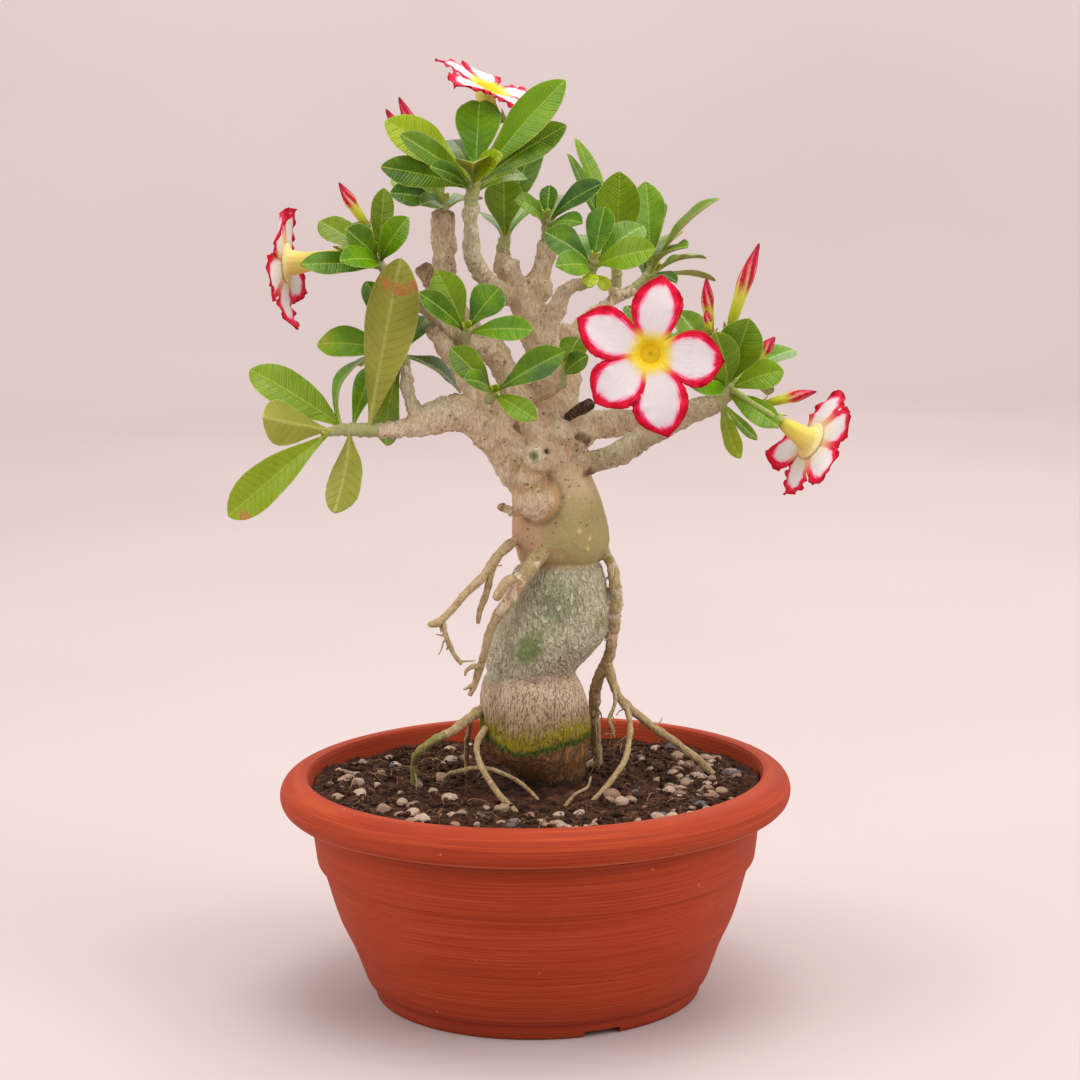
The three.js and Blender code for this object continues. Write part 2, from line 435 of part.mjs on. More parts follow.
// Each shoot: the limb it grows on, its green stem's stations past the limb's end, its leaves as
// [tip x, y, z, width, sag, turn, drop], where drop is how far below the stem's end the leaf grows
// (or, instead of drop, the leaf's own base)
const shoots = {
  crown: {
    on: 'crownStem',
    stem: [[-25.8, -5, 392, 3.4], [-23.5, -6, 400, 3]],
    leaves: [[-22, 14, 436, 22, 3, 0, 0], [18.7, -22, 443.8, 19, 4, 0, 1], [19, -18, 423, 17, 4, 0, 3],
      [-66, -14, 426, 20, 4, 0, 2], [-58, -34, 420, 13, 3, 0, 4], [-68, -22, 405, 16, 4, 0, 6],
      [-24, -48, 407, 16, 4, 0, 3], [-11, -40, 410, 13, 4, 0, 5], [-44, -40, 405, 11, 3, 0, 7],
      [-1, 14, 399, 15, 4, 0, 7], [-37, 36, 416, 18, 4, 0, 3]],
  },
  cutTop: {
    on: 'cutStub',
    stem: [[-40, 11, 386, 3]],
    leaves: [[-65, -2, 392, 14, 3, 0, 0], [-65, 22, 398, 15, 3, 0, 0], [-50, 40, 399, 14, 3, 0, 0],
      [-25, 40, 387, 14, 3, 0, 1], [-50, -14, 387, 11, 3, 0, 1]],
  },
  behindKnob: {
    on: 'centreLeader',
    stem: [[-12, 26, 364.5, 3.2], [-11, 30.5, 369, 2.8]],
    leaves: [[6, 44, 417, 20, 4, 0, 0], [-11, 26, 399, 19, 3, 0, 0], [-19, 72, 378, 18, 5, 0, 0],
      [6, 80, 383, 17, 5, 0, 0]],
  },
  forkTop: {
    on: 'centreFork',
    stem: [[9.5, 22, 371, 3], [9.5, 20, 378, 2.6]],
    leaves: [[36, 4, 395, 14, 3, 0, 0], [11, 26, 394, 9, 2, 0, 0], [-6, 4, 388, 13, 3, 0, 2],
      [26, -6, 377, 11, 3, 0, 3], [21, 52, 388, 12, 3, 0, 2], [-2, 40, 385, 11, 3, 0, 3]],
  },
  spurTop: {
    on: 'shortSpur',
    stem: [[30, 0.5, 352, 2.4], [31.5, -1, 359, 2.3]],
    leaves: [[37, 6, 384, 14, 2, 0, 0], [56, 12, 374, 17, 3, 0, 1], [60, -20, 365, 17, 4, 0, 2],
      [8, -8, 373, 17, 3, 0, 1], [13, -24, 358, 14, 4, 0, 4], [29, -14, 347, 8, 2, 0, 5.5],
      [38, -4, 345, 7, 2, 0, 6], [30, 40, 369, 14, 4, 0, 2]],
  },
  backTall: {
    on: 'backReach',
    stem: [[43.5, 46.5, 349, 2.7], [43.5, 44, 355, 2.5]],
    leaves: [[45, 36, 400, 22, 3, 0, 0], [24, 54, 416, 12, 3, 0, 0], [20, 30, 409, 10, 3, 0, 3],
      [28, 66, 402, 13, 3, 0, 1], [37, 96, 366, 16, 5, 0, 4], [57, 86, 383, 15, 4, 0, 2]],
  },
  backRight: {
    on: 'farReach',
    stem: [[57, 56, 345.5, 2.5], [61.5, 58, 351, 2.3]],
    leaves: [[59, 68, 394, 17, 3, 0, 0], [68, 84, 383, 14, 3, 0, 0], [94, 44, 386, 18, 4, 0, 0],
      [78, 88, 368, 12, 3, 0, 2], [78, 34, 363, 17, 4, 0, 1], [89, 62, 356, 17, 4, 0, 3],
      [94, 70, 344, 13, 4, 0, 5], [73, 42, 345, 10, 3, 0, 5], [70, 106, 365, 17, 5, 0, 2],
      [49, 100, 354, 15, 5, 0, 4]],
  },
  behindBloom: {
    on: 'rightBack',
    stem: [[65.5, 22, 297, 3.4], [62.5, 16, 309.5, 2.8], [60.5, 10, 318, 2.4]],
    leaves: [[71, 24, 342, 11, 3, 0, 0], [47, 26, 335, 11, 3, 0, 1], [77, 34, 317, 14, 4, 0, 3],
      [55, 50, 314, 14, 5, 0, 5], [69, 56, 301, 14, 5, 0, 8]],
  },
  right: {
    on: 'rightFront',
    stem: [[92.5, -15, 295.5, 4], [94.5, -16, 301, 3.2]],
    leaves: [[103, -32, 333, 22, 3, 0, 0], [120, -22, 307, 15, 3, 0, 1], [73, -46, 304, 18, 4, 0, 1],
      [116, -38, 282.5, 13, 3, 0, 4], [129, 20, 313, 15, 4, 0, 1], [71, 7, 334, 16, 4, 0, 0],
      [70, -6, 325, 13, 3, 0, 2], [86, -44, 328, 16, 5, 0, 1], [98, 44, 314, 15, 5, 0, 2],
      [117, 34, 290, 14, 5, 0, 3],
      [101.5, 4, 262.5, 10, -3, 0, [91.3, -12, 291.8]], [109, -4, 272.5, 6, -2, 0, [91.6, -12.5, 292.2]]],
  },
  branchEnd: {
    on: 'leftLow',
    stem: [[-81, -14.5, 281, 3.4], [-89.5, -17, 281.5, 3], [-95, -18.5, 280.5, 2.2]],
    leaves: [[-59, -27, 363, 25, -1, [0.25, 1, 0], [-76.5, -14, 282]],
      [-76, -6, 315, 16, 9, [-1, -0.45, 0.4], [-90, -17, 282]],
      [-134, 0, 309, 18, 3, 10, [-88, -16, 282]],
      [-124, -44, 291, 22, 3, [-0.3, 1, -0.35], [-93, -18.5, 281]],
      [-147.5, 8, 237, 20, 4, 25, [-94.5, -18, 280.5]],
      [-93, -28, 243, 18, 3, [0.5, 1, 0.1], [-85.5, -17, 280.5]],
      [-76, 12, 309, 12, 2, 0, [-84.5, -15, 282]]],
  },
  twig: {
    on: 'leftTwig',
    stem: [[-60, -9, 315.5, 2.4], [-61, -8, 319, 2]],
    leaves: [[-78, 8, 350, 13, 3, 0, 0], [-101, -6, 321, 17, 4, 0, 1], [-67, 30, 331, 13, 3, 0, 1],
      [-48, 13, 332, 13, 3, 0, 1], [-34, 18, 295, 19, 3, 0, 2], [-70, 12, 270, 16, 4, 0, 3],
      [-83, 34, 307, 14, 4, 0, 2]],
  },
  left: {
    on: 'leftReach',
    stem: [[-68, -12, 357, 2.5], [-71.5, -14, 361.5, 2.4]],
    leaves: [[-67, -14, 395, 11, 2, 0, 0], [-55, -32, 382, 14, 3, 0, 1], [-84, -36, 377, 15, 3, 0, 0],
      [-99, 0, 379, 15, 3, 0, 0], [-86, -48, 363, 14, 4, 0, 3], [-105, -38, 361, 12, 3, 0, 3],
      [-88, 24, 376, 14, 4, 0, 1], [-62, 20, 374, 13, 3, 0, 2]],
  },
  frontHigh: {
    on: 'frontSpur',
    stem: [[-30.2, -6, 324, 2.6], [-29.5, -11, 327.5, 2.4]],
    leaves: [[-43, -16, 356, 17, 4, 0, 0], [-13.5, -5, 347, 18, 3, 0, 0], [-51, -34, 347, 12, 3, 0, 1],
      [2, -24, 328, 13, 3, 0, 1]],
  },
  frontLow: {
    on: 'lowSpur',
    stem: [[-18.3, -11, 295.5, 2.6], [-17, -17, 298.5, 2.4]],
    leaves: [[-37, -24, 320, 15, 3, 0, 0], [-30, -44, 307, 12, 3, 0, 1], [17, -26, 318, 16, 3, 0, 0],
      [3, -34, 287, 12, 3, 0, 2]],
  },
  thin: {
    on: 'thinTwig',
    stem: [[16, -4, 302.5, 1.9], [16.5, -4, 307, 1.9]],
    leaves: [[24, 2, 322, 14, 3, 0, 0], [28, -14, 315, 11, 3, 0, 1]],
  },
};

// ---- Blooms and buds ----

// Each bloom: the shoot it grows on and its stalk's stations, the tube's base, the middle of the
// throat, the way the flower looks, and its lobes anticlockwise as [degrees from the right, reach,
// width, rise of the tip]
const blooms = {
  front: {
    on: 'behindBloom',
    stalk: [[60.5, 10, 317], [60.5, 0, 315]],
    base: [58, -16, 316.5],
    throat: [56, -48, 318.5],
    facing: [-0.06, -1, 0.06],
    lobes: [[-5, 34, 23, 0], [87, 36, 23, 0], [156, 37, 23, 0], [216, 35, 22, 0], [284, 39, 23, 0]],
  },
  right: {
    on: 'right',
    stalk: [[95, -17, 299], [104, -27, 293]],
    base: [115.5, -34, 286],
    throat: [132, -30, 274.5],
    facing: [0.79, 0.37, -0.49],
    lobes: [[76, 31, 20, 9], [150, 29, 19, 0], [212, 31, 20, 0], [284, 28, 20, 4], [346, 33, 20, 0]],
  },
  left: {
    on: 'left',
    stalk: [[-71, -14, 361], [-78, -15.5, 364.5]],
    base: [-87, -16, 365.5],
    throat: [-113, -22, 361],
    facing: [-0.98, 0.19, 0],
    lobes: [[52, 31, 20, -6], [132, 31, 20, 2], [212, 33, 20, 0], [278, 31, 19, -4], [346, 31, 20, 0]],
  },
  top: {
    on: 'crown',
    stalk: [[-23, -5, 399], [-16, 14, 411]],
    base: [-12, 24, 426],
    throat: [-17.5, 24, 441],
    facing: [0.42, -0.22, 0.88],
    lobes: [[48, 32, 20, -2], [114, 29, 20, 2], [182, 33, 20, 2], [252, 33, 20, 3], [326, 34, 20, 0]],
  },
};

// Each bud: the shoot it grows on and its stalk's stations, its foot, its tip and largest radius
const buds = {
  tall: {
    on: 'right',
    stalk: [[94.5, -16, 300], [93, -17.5, 312]],
    foot: [94.5, -18, 326], tip: [108.5, -20, 367], radius: 3.6,
  },
  small: {
    on: 'right',
    stalk: [[94, -15.5, 299], [88, -13.5, 311]],
    foot: [86, -14, 324.5], tip: [84, -16, 351], radius: 3,
  },
  tiny: {
    on: 'right',
    stalk: [[94, -17, 299], [87, -21, 312]],
    foot: [85, -22, 325.5], tip: [83.5, -23, 336.5], radius: 2.2,
  },
  hidden: {
    on: 'right',
    stalk: [[95, -15, 299], [101, -10, 303]],
    foot: [106, -8, 309], tip: [117, -8, 322], radius: 3.2,
  },
  overBloom: {
    on: 'right',
    stalk: [[95.5, -17, 298], [103, -23, 292.5]],
    foot: [110.5, -26, 292], tip: [134.5, -30, 298], radius: 2.8,
  },
  left: {
    on: 'left',
    stalk: [[-71.5, -14, 361], [-73, -18, 369]],
    foot: [-75, -20, 377.5], tip: [-87.5, -22, 398], radius: 2.8,
  },
  leftTiny: {
    on: 'left',
    stalk: [[-71, -13.5, 361], [-68.5, -5, 366]],
    foot: [-67, -2, 372.5], tip: [-65.5, -2, 384], radius: 2,
  },
  topFront: {
    on: 'cutTop',
    stalk: [[-40.5, 10, 386], [-43, 5, 392]],
    foot: [-47, 2, 400], tip: [-66, 0, 431.5], radius: 3.6,
  },
  topBack: {
    on: 'cutTop',
    stalk: [[-40, 11.5, 386], [-42, 13.5, 395]],
    foot: [-45.5, 14, 404.5], tip: [-60.5, 14, 437], radius: 3.4,
  },
};

// The middle line of a bloom's tube, as far as the neck just below its mouth
function tubeBend({ base, throat, facing }) {
  const start = vector(base);
  const forward = vector(facing).normalize();
  const neckDepth = tubeShape.mouthLength + lobeShape.thickness / 2 + gap;
  const neck = vector(throat).addScaledVector(forward, -neckDepth);
  const pull = neck.clone().addScaledVector(forward, -0.45 * neck.distanceTo(start));
  return new THREE.QuadraticBezierCurve3(start, pull, neck);
}

// Where the blooms and buds leave their shoots, and how large the calyx is there
const bloomFeet = Object.values(blooms).map((bloom) => ({
  on: bloom.on,
  stalk: bloom.stalk,
  foot: vector(bloom.base),
  axis: tubeBend(bloom).getTangent(0),
  size: 1,
}));
const budFeet = Object.values(buds).map((bud) => ({
  on: bud.on,
  stalk: bud.stalk,
  foot: vector(bud.foot),
  axis: vector(bud.tip).sub(vector(bud.foot)).normalize(),
  size: budShape.calyxPerRadius * bud.radius,
}));
const feet = [...bloomFeet, ...budFeet];

function makeTube(name, bloom) {
  const bend = tubeBend(bloom);
  const forward = vector(bloom.facing).normalize();
  const mouth = bend.v2.clone().addScaledVector(forward, tubeShape.mouthLength);
  const stations = tubeShape.along.map((t, i) => [...bend.getPoint(t), tubeShape.radius[i]]);
  const rings = ringsAlong([...stations, [...mouth, tubeShape.mouth]]);
  const outer = rings.map((ring) => ringPoints(ring, tubeShape.sides));
  const hollow = rings.slice(2).reverse().map((ring) => (
    ringPoints({ ...ring, radius: ring.radius - tubeShape.wall }, tubeShape.sides)));
  const tube = closedSkin([...outer, ...hollow], rings[0].centre, rings[2].centre);
  return meshOf(`bloom_${name}_tube`, tube, tubeYellow);
}

// A collar round the throat and five lobes: each starts from three points of the collar's edge and
// is skewed, waved and curled back
function makeLobes(name, { throat, facing, lobes }) {
  const middle = vector(throat);
  const forward = vector(facing).normalize();
  const upward = up.clone().addScaledVector(forward, -forward.z).normalize();
  const right = upward.clone().cross(forward);
  const points = [];
  const place = (degrees, distance, aside, height) => {
    const angle = THREE.MathUtils.degToRad(degrees);
    const outward = right.clone().multiplyScalar(Math.cos(angle)).addScaledVector(upward, Math.sin(angle));
    return points.push(middle.clone().addScaledVector(outward, distance)
      .addScaledVector(forward.clone().cross(outward), aside).addScaledVector(forward, height)) - 1;
  };
  const { along, curl, halfWidth, lift, skew, thickness, tilt, wave } = lobeShape;
  const turns = lobes.flatMap(([degrees]) => [-1, 0, 1].map((side) => degrees + side * collar.lobeDegrees));
  const inner = turns.map((degrees) => place(degrees, collar.inner, 0, 0));
  const outer = turns.map((degrees) => place(degrees, collar.outer, 0, 0));
  const faces = bridge([...outer, outer[0]], [...inner, inner[0]]);
  lobes.forEach(([degrees, reach, width, rise], k) => {
    let row = outer.slice(3 * k, 3 * k + 3);
    along.forEach((t, i) => {
      const distance = collar.outer + (reach - collar.outer) * t;
      const half = (width / 2) * halfWidth[i];
      const middleHeight = lift * t - curl * t ** 3 + rise * t ** 2;
      const edgeWave = i % 2 ? wave : -wave;
      const sides = half > 0 ? [-1, 0, 1] : [0];
      const next = sides.map((side) => (
        place(degrees, distance, side * half - skew * reach * t ** 2,
          middleHeight + (side * tilt + Math.abs(side) * edgeWave) * t)));
      faces.push(...bridge(row, next).map(([a, b, c]) => [b, a, c]));
      row = next;
    });
  });
  return meshOf(`bloom_${name}_lobes`, plate(points, faces, forward, thickness), lobeWhite);
}

function makeBud(name, { foot, tip, radius }) {
  const axis = vector(tip).sub(vector(foot));
  const stations = budShape.along.map((t, i) => [
    ...vector(foot).addScaledVector(axis, t), radius * budShape.radius[i]]);
  const rows = ringsAlong(stations).map((ring, i) => (
    ringPoints(ring, budShape.sides, budShape.flute, budShape.twist * budShape.along[i])));
  return meshOf(`bud_${name}`, closedSkin(rows, vector(foot), vector(tip)), budRed);
}

// ---- Stems, stalks and leaves of a shoot ----

// The stem starts a gap beyond its limb's end, square to it
function stemRoute({ on, stem }) {
  const [before, end] = limbs[on].slice(-2).map(vector);
  const forward = end.clone().sub(before).normalize();
  const start = [gap, gap + 1].map((step) => [...end.clone().addScaledVector(forward, step), stem[0][3]]);
  return [...start, ...stem];
}

// The calyx at the foot of a bloom or a bud: a small cup whose rim rises to five points
function calyx(foot, axis, size) {
  const { under, foot: footRadius, tip, tipHeight, valley, valleyHeight, inside } = calyxShape;
  const side = new THREE.Vector3(1, 0, 0).addScaledVector(axis, -axis.x).normalize();
  const across = axis.clone().cross(side);
  const raised = (height) => foot.clone().addScaledVector(axis, size * height);
  const row = (tipPoint, valleyPoint) => Array.from({ length: 10 }, (_, j) => {
    const angle = (Math.PI * j) / 5;
    const [radius, height] = j % 2 ? valleyPoint : tipPoint;
    return raised(height).addScaledVector(side, size * radius * Math.cos(angle))
      .addScaledVector(across, size * radius * Math.sin(angle));
  });
  return closedSkin([
    row([footRadius, -under / 2], [footRadius, -under / 2]),
    row([tip, tipHeight], [valley, valleyHeight]),
    row([inside, 0], [inside, 0]),
  ], raised(-under), foot);
}

// The stalk of a bloom or bud, square to the foot it carries, with the calyx a gap below that foot
function stalkOf({ stalk, foot, axis, size }) {
  const end = foot.clone().addScaledVector(axis, -gap);
  const stations = [...stalk.map(vector), end.clone().addScaledVector(axis, -3 * size), end];
  const radius = stalkRadius * Math.sqrt(size);
  return [limb(stations.map((p) => [...p, radius]), 4), calyx(end, axis, size)];
}

function makeShoot(name, shoot) {
  const route = stemRoute(shoot);
  const [before, end] = route.slice(-2).map(vector);
  const axis = end.clone().sub(before).normalize();
  const radius = route[route.length - 1][3];
  const blades = shoot.leaves.map(([x, y, z, width, sag, turn, drop]) => {
    const tip = new THREE.Vector3(x, y, z);
    const base = Array.isArray(drop) ? vector(drop) : end.clone().addScaledVector(axis, -drop - 1);
    const outward = tip.clone().sub(base).projectOnPlane(axis).setLength(radius * leafStart);
    if (!Array.isArray(drop)) base.add(outward);
    const forward = tip.clone().sub(base).normalize();
    return leaf({ base, tip, width, sag, face: faceOf(forward, tip, turn) });
  });
  const stalks = feet.filter((foot) => foot.on === name).flatMap(stalkOf);
  const solid = fuse([limb(route, 6), ...blades, ...stalks]);
  const carrier = limb(swollen(limbs[shoot.on].slice(-3), gap), 8);
  return meshOf(`shoot_${name}`, solid.subtract(carrier), leafGreen);
}

// ---- The whole plant in its bowl ----

const group = new THREE.Group();
group.add(makeBowl(), makeSoil(), makePlant());
Object.entries(shoots).forEach(([name, shoot]) => group.add(makeShoot(name, shoot)));
Object.entries(blooms).forEach(([name, bloom]) => group.add(makeTube(name, bloom), makeLobes(name, bloom)));
Object.entries(buds).forEach(([name, bud]) => group.add(makeBud(name, bud)));

export default group;
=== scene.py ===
import math
import random

import bmesh
import bpy
import numpy as np
from mathutils import Matrix, Vector, noise
from mathutils.kdtree import KDTree


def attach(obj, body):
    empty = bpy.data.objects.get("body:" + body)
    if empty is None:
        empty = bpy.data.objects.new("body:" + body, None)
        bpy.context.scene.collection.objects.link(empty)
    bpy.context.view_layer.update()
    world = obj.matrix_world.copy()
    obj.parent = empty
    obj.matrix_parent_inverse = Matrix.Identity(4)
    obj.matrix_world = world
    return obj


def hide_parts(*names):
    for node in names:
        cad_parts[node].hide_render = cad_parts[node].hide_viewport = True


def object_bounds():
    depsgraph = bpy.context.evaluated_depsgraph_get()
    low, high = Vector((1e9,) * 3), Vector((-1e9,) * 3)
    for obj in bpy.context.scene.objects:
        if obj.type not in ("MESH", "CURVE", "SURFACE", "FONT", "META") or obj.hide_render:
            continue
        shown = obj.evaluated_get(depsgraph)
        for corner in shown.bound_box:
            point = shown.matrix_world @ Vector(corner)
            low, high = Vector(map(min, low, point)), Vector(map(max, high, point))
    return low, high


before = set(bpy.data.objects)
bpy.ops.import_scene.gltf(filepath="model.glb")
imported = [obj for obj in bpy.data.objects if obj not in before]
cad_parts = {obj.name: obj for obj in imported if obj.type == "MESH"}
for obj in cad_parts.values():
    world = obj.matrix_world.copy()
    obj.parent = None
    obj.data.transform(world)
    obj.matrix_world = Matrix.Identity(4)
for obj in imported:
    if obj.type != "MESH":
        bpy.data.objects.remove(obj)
cadBox = [list(corner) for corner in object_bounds()]
print("frame loaded")

mm = 0.001


def tint(red, green, blue):  # screen colour 0-255 to the linear colour that shaders take
    def linear(value):
        value = value / 255
        return value / 12.92 if value <= 0.04045 else ((value + 0.055) / 1.055) ** 2.4
    return (linear(red), linear(green), linear(blue), 1)


def tints(red, green, blue):
    return np.array(tint(red, green, blue)[:3])


def ease(value, low, high):  # 0 below low, 1 above high, smooth between
    t = np.clip((value - low) / (high - low), 0, 1)
    return t * t * (3 - 2 * t)


def unit(v):
    return v / np.linalg.norm(v)


def circle(count):  # evenly spaced angles
    return [2 * math.pi * j / count for j in range(count)]


# ---- meshes ----

def newHeap(*part, **marks):  # parts of one piece, gathered before its mesh is made
    heap = {"points": [], "faces": [], "slots": [], "marks": {}}
    if part:
        addPart(heap, *part, **marks)
    return heap


def addPart(heap, points, faces, slot=0, **marks):  # a mark is one value, or a list with one for each point
    first = len(heap["points"])
    heap["points"].extend(points)
    heap["faces"].extend([tuple(first + i for i in face) for face in faces])
    heap["slots"].extend([slot] * len(faces))
    for label, values in marks.items():
        stored = heap["marks"].setdefault(label, [])
        stored.extend(values if isinstance(values, list) else [values] * len(points))


def makePiece(name, heap, *finishes):
    mesh = bpy.data.meshes.new(name)
    mesh.from_pydata((np.array(heap["points"], float) * mm).tolist(), [], heap["faces"])
    for finish in finishes:
        mesh.materials.append(finish)
    mesh.polygons.foreach_set("material_index", np.array(heap["slots"], np.int32))
    for label, values in heap["marks"].items():
        values = np.array(values, np.float32)
        kind, field = ("FLOAT", "value") if values.ndim == 1 else ("FLOAT_VECTOR", "vector")
        mesh.attributes.new(label, kind, "POINT").data.foreach_set(field, values.ravel())
    mesh.polygons.foreach_set("use_smooth", np.ones(len(mesh.polygons), bool))
    mesh.update()
    return placed(name, mesh)


def placed(name, data):
    piece = bpy.data.objects.new(name, data)
    bpy.context.scene.collection.objects.link(piece)
    return piece


def applied(source, name):  # the object with its modifiers made part of the mesh
    graph = bpy.context.evaluated_depsgraph_get()
    mesh = bpy.data.meshes.new_from_object(source.evaluated_get(graph))
    mesh.name = name
    bpy.data.objects.remove(source)
    return placed(name, mesh)


def standIn(piece, slot, *nodes):  # the piece rides on the plant's one body and stands for CAD nodes
    spots = np.empty(len(piece.data.vertices) * 3)
    piece.data.vertices.foreach_get("co", spots)
    spots = np.clip(spots.reshape(-1, 3), cadBox[0], cadBox[1])  # never past the frame's own box
    piece.data.vertices.foreach_set("co", spots.ravel())
    piece.data.update()
    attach(piece, "root")
    if nodes:
        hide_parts(*nodes)
    return len(piece.data.polygons)


def smoothRoute(stations, step):  # a soft curve through [x, y, z, radius] stations
    points = np.array(stations, float)
    ends = np.vstack([2 * points[0] - points[1], points, 2 * points[-1] - points[-2]])
    route = []
    for i in range(len(points) - 1):
        a, b, c, d = ends[i:i + 4]
        count = max(2, int(round(np.linalg.norm((c - b)[:3]) / step)))
        for k in range(count):
            t = k / count
            route.append(0.5 * (2 * b + (c - a) * t + (2 * a - 5 * b + 4 * c - d) * t * t
                                + (3 * b - a - 3 * c + d) * t ** 3))
    route.append(points[-1])
    route = np.array(route)
    route[:, 3] = np.maximum(route[:, 3], points[:, 3].min())
    return route


def ringsAlong(route):  # centre, side, across, radius and tangent of each ring, turned as little as can be
    side = np.array([0.31, -0.95, 0.05])
    rings = []
    for i in range(len(route)):
        tangent = unit(route[min(i + 1, len(route) - 1), :3] - route[max(i - 1, 0), :3])
        side = unit(side - tangent * side.dot(tangent))
        rings.append((route[i, :3], side, np.cross(tangent, side), route[i, 3], tangent))
    return rings


def gridFaces(rows, columns, closed=True):
    faces = []
    for i in range(rows - 1):
        for j in range(columns if closed else columns - 1):
            a, b = i * columns + j, i * columns + (j + 1) % columns
            faces.append((a, b, b + columns, a + columns))
    return faces


def closedFaces(rows, sides):  # rings joined up, with fans to the two end points that follow them
    faces = gridFaces(rows, sides)
    start = rows * sides
    tail = start - sides
    for j in range(sides):
        faces += [(start, (j + 1) % sides, j), (start + 1, tail + j, tail + (j + 1) % sides)]
    return faces


def sheetFaces(rows, wide, turned=False):  # both sides of a thin sheet and the rim between them
    sheet = gridFaces(rows, wide, closed=False)
    count, right, last = rows * wide, wide - 1, (rows - 1) * wide
    rim = list(range(wide)) + [i * wide + right for i in range(1, rows)]
    rim += [last + j for j in range(right - 1, -1, -1)] + [i * wide for i in range(rows - 2, 0, -1)]
    faces = [face[::-1] for face in sheet] + [tuple(i + count for i in face) for face in sheet]
    faces += [(a, b, b + count, a + count) for a, b in zip(rim, rim[1:] + rim[:1])]
    return [face[::-1] for face in faces] if turned else faces


def sheetNormals(grid):
    normals = np.cross(np.gradient(grid, axis=1), np.gradient(grid, axis=0))
    return normals / np.maximum(np.linalg.norm(normals, axis=2, keepdims=True), 1e-9)


def sheetMarks(shape, *values):  # values over a sheet, one row for each of its points
    return [tuple(row) for row in np.column_stack([np.broadcast_to(v, shape).ravel() for v in values])]


def tubeSkin(route, sides, shape=None, domes=True):
    # a closed tube along the route, and each point's way along it; shape(angles, row) scales its radius
    def dome(ring, way, turns):
        centre, side, across, radius, tangent = ring
        return [(centre + way * tangent * radius * 0.5 * math.sin(a), side, across, radius * math.cos(a),
                 tangent) for a in turns]
    rings = ringsAlong(route)
    if domes:
        rings = dome(rings[0], -1, (1.2, 0.7)) + rings + dome(rings[-1], 1, (0.7, 1.2))
    angles = np.arange(sides) * 2 * math.pi / sides
    points, way = [], []
    distance = 0
    for i, (centre, side, across, radius, _) in enumerate(rings):
        if i:
            distance += np.linalg.norm(centre - rings[i - 1][0])
        scale = np.ones(sides) if shape is None else shape(angles, i)
        reach = (radius * scale)[:, None]
        points.extend(centre + reach * (np.cos(angles)[:, None] * side + np.sin(angles)[:, None] * across))
        way += [(0, distance, 0)] * sides
    points += [rings[0][0] - rings[0][4] * 0.1, rings[-1][0] + rings[-1][4] * 0.1]
    return points, closedFaces(len(rings), sides), way + [(0, 0, 0), (0, distance, 0)]


# ---- shader helpers; colours are screen colours, 0-255 ----

current = {}  # the material that is being built


def newFinish(name, roughness, specular=0.5):
    finish = bpy.data.materials.new(name)
    finish.use_nodes = True
    current.update(finish=finish, tree=finish.node_tree,
                   sockets=finish.node_tree.nodes["Principled BSDF"].inputs)
    feed(roughness, current["sockets"]["Roughness"])
    feed(specular, current["sockets"]["Specular IOR Level"])


def feed(value, socket):
    if isinstance(value, bpy.types.NodeSocket):
        current["tree"].links.new(value, socket)
    else:
        socket.default_value = tint(*value) if socket.type == "RGBA" else value


def addNode(kind, inputs=(), **settings):
    node = current["tree"].nodes.new("ShaderNode" + kind)
    for key, value in settings.items():
        setattr(node, key, value)
    for key, value in dict(inputs).items():
        feed(value, node.inputs[key])
    return node


def calc(operation, *values):
    return addNode("Math", enumerate(values), operation=operation).outputs[0]


def times(a, b):
    return calc("MULTIPLY", a, b)


def plus(a, b):
    return calc("ADD", a, b)


def minus(a, b):
    return calc("SUBTRACT", a, b)


def sway(value, size):  # noise about one half, turned into a swing about nothing
    return times(minus(value, 0.5), size)


def between(value, low, high, start=0.0, end=1.0, way="SMOOTHSTEP"):  # a step from start to end
    return addNode("MapRange", {"Value": value, "From Min": low, "From Max": high,
                                "To Min": start, "To Max": end}, interpolation_type=way).outputs["Result"]


def blend(share, a, b, how="MIX"):
    return addNode("Mix", {0: share, 6: a, 7: b}, data_type="RGBA", blend_type=how).outputs[2]


def layers(colour, *coats):  # each coat is its share and its colour, laid over those before
    for share, coat in coats:
        colour = blend(share, colour, coat)
    return colour


def ramp(value, *stops):  # stops are positions and colours
    node = addNode("ValToRGB", {"Fac": value})
    elements = node.color_ramp.elements
    while len(elements) < len(stops):
        elements.new(0.5)
    for element, (position, colour) in zip(elements, stops):
        element.position = position
        element.color = tint(*colour)
    return node.outputs["Color"]


def surfacePlace(stretch=(1, 1, 1)):  # place in metres, scaled by stretch
    place = addNode("TexCoord").outputs["Object"]
    return addNode("Mapping", {"Vector": place, "Scale": stretch}).outputs["Vector"]


def grain(vector, scale, detail=3.0, roughness=0.55, distortion=0.0):
    return addNode("TexNoise", {"Vector": vector, "Scale": scale, "Detail": detail,
                                "Roughness": roughness, "Distortion": distortion}).outputs["Fac"]


def cells(vector, scale):
    return addNode("TexVoronoi", {"Vector": vector, "Scale": scale}).outputs["Distance"]


def mark(label, output="Vector"):  # a value stored on the mesh
    return addNode("Attribute", attribute_name=label).outputs[output]


def parts(vector):
    return addNode("SeparateXYZ", {"Vector": vector}).outputs


def joined(*values):
    return addNode("CombineXYZ", enumerate(values)).outputs[0]


def dress(colour, relief, depth, strength, roughness=None, glow=None):
    # colour, bumps of a depth in metres, and where wanted roughness and glow, all into the shader
    sockets = current["sockets"]
    feed(colour, sockets["Base Color"])
    if roughness is not None:
        feed(roughness, sockets["Roughness"])
    if glow is not None:
        feed(colour, sockets["Emission Color"])
        feed(glow, sockets["Emission Strength"])
    bumps = addNode("Bump", {"Height": relief, "Distance": depth, "Strength": strength})
    feed(bumps.outputs["Normal"], sockets["Normal"])
    return current["finish"]


# ---- the bowl ----

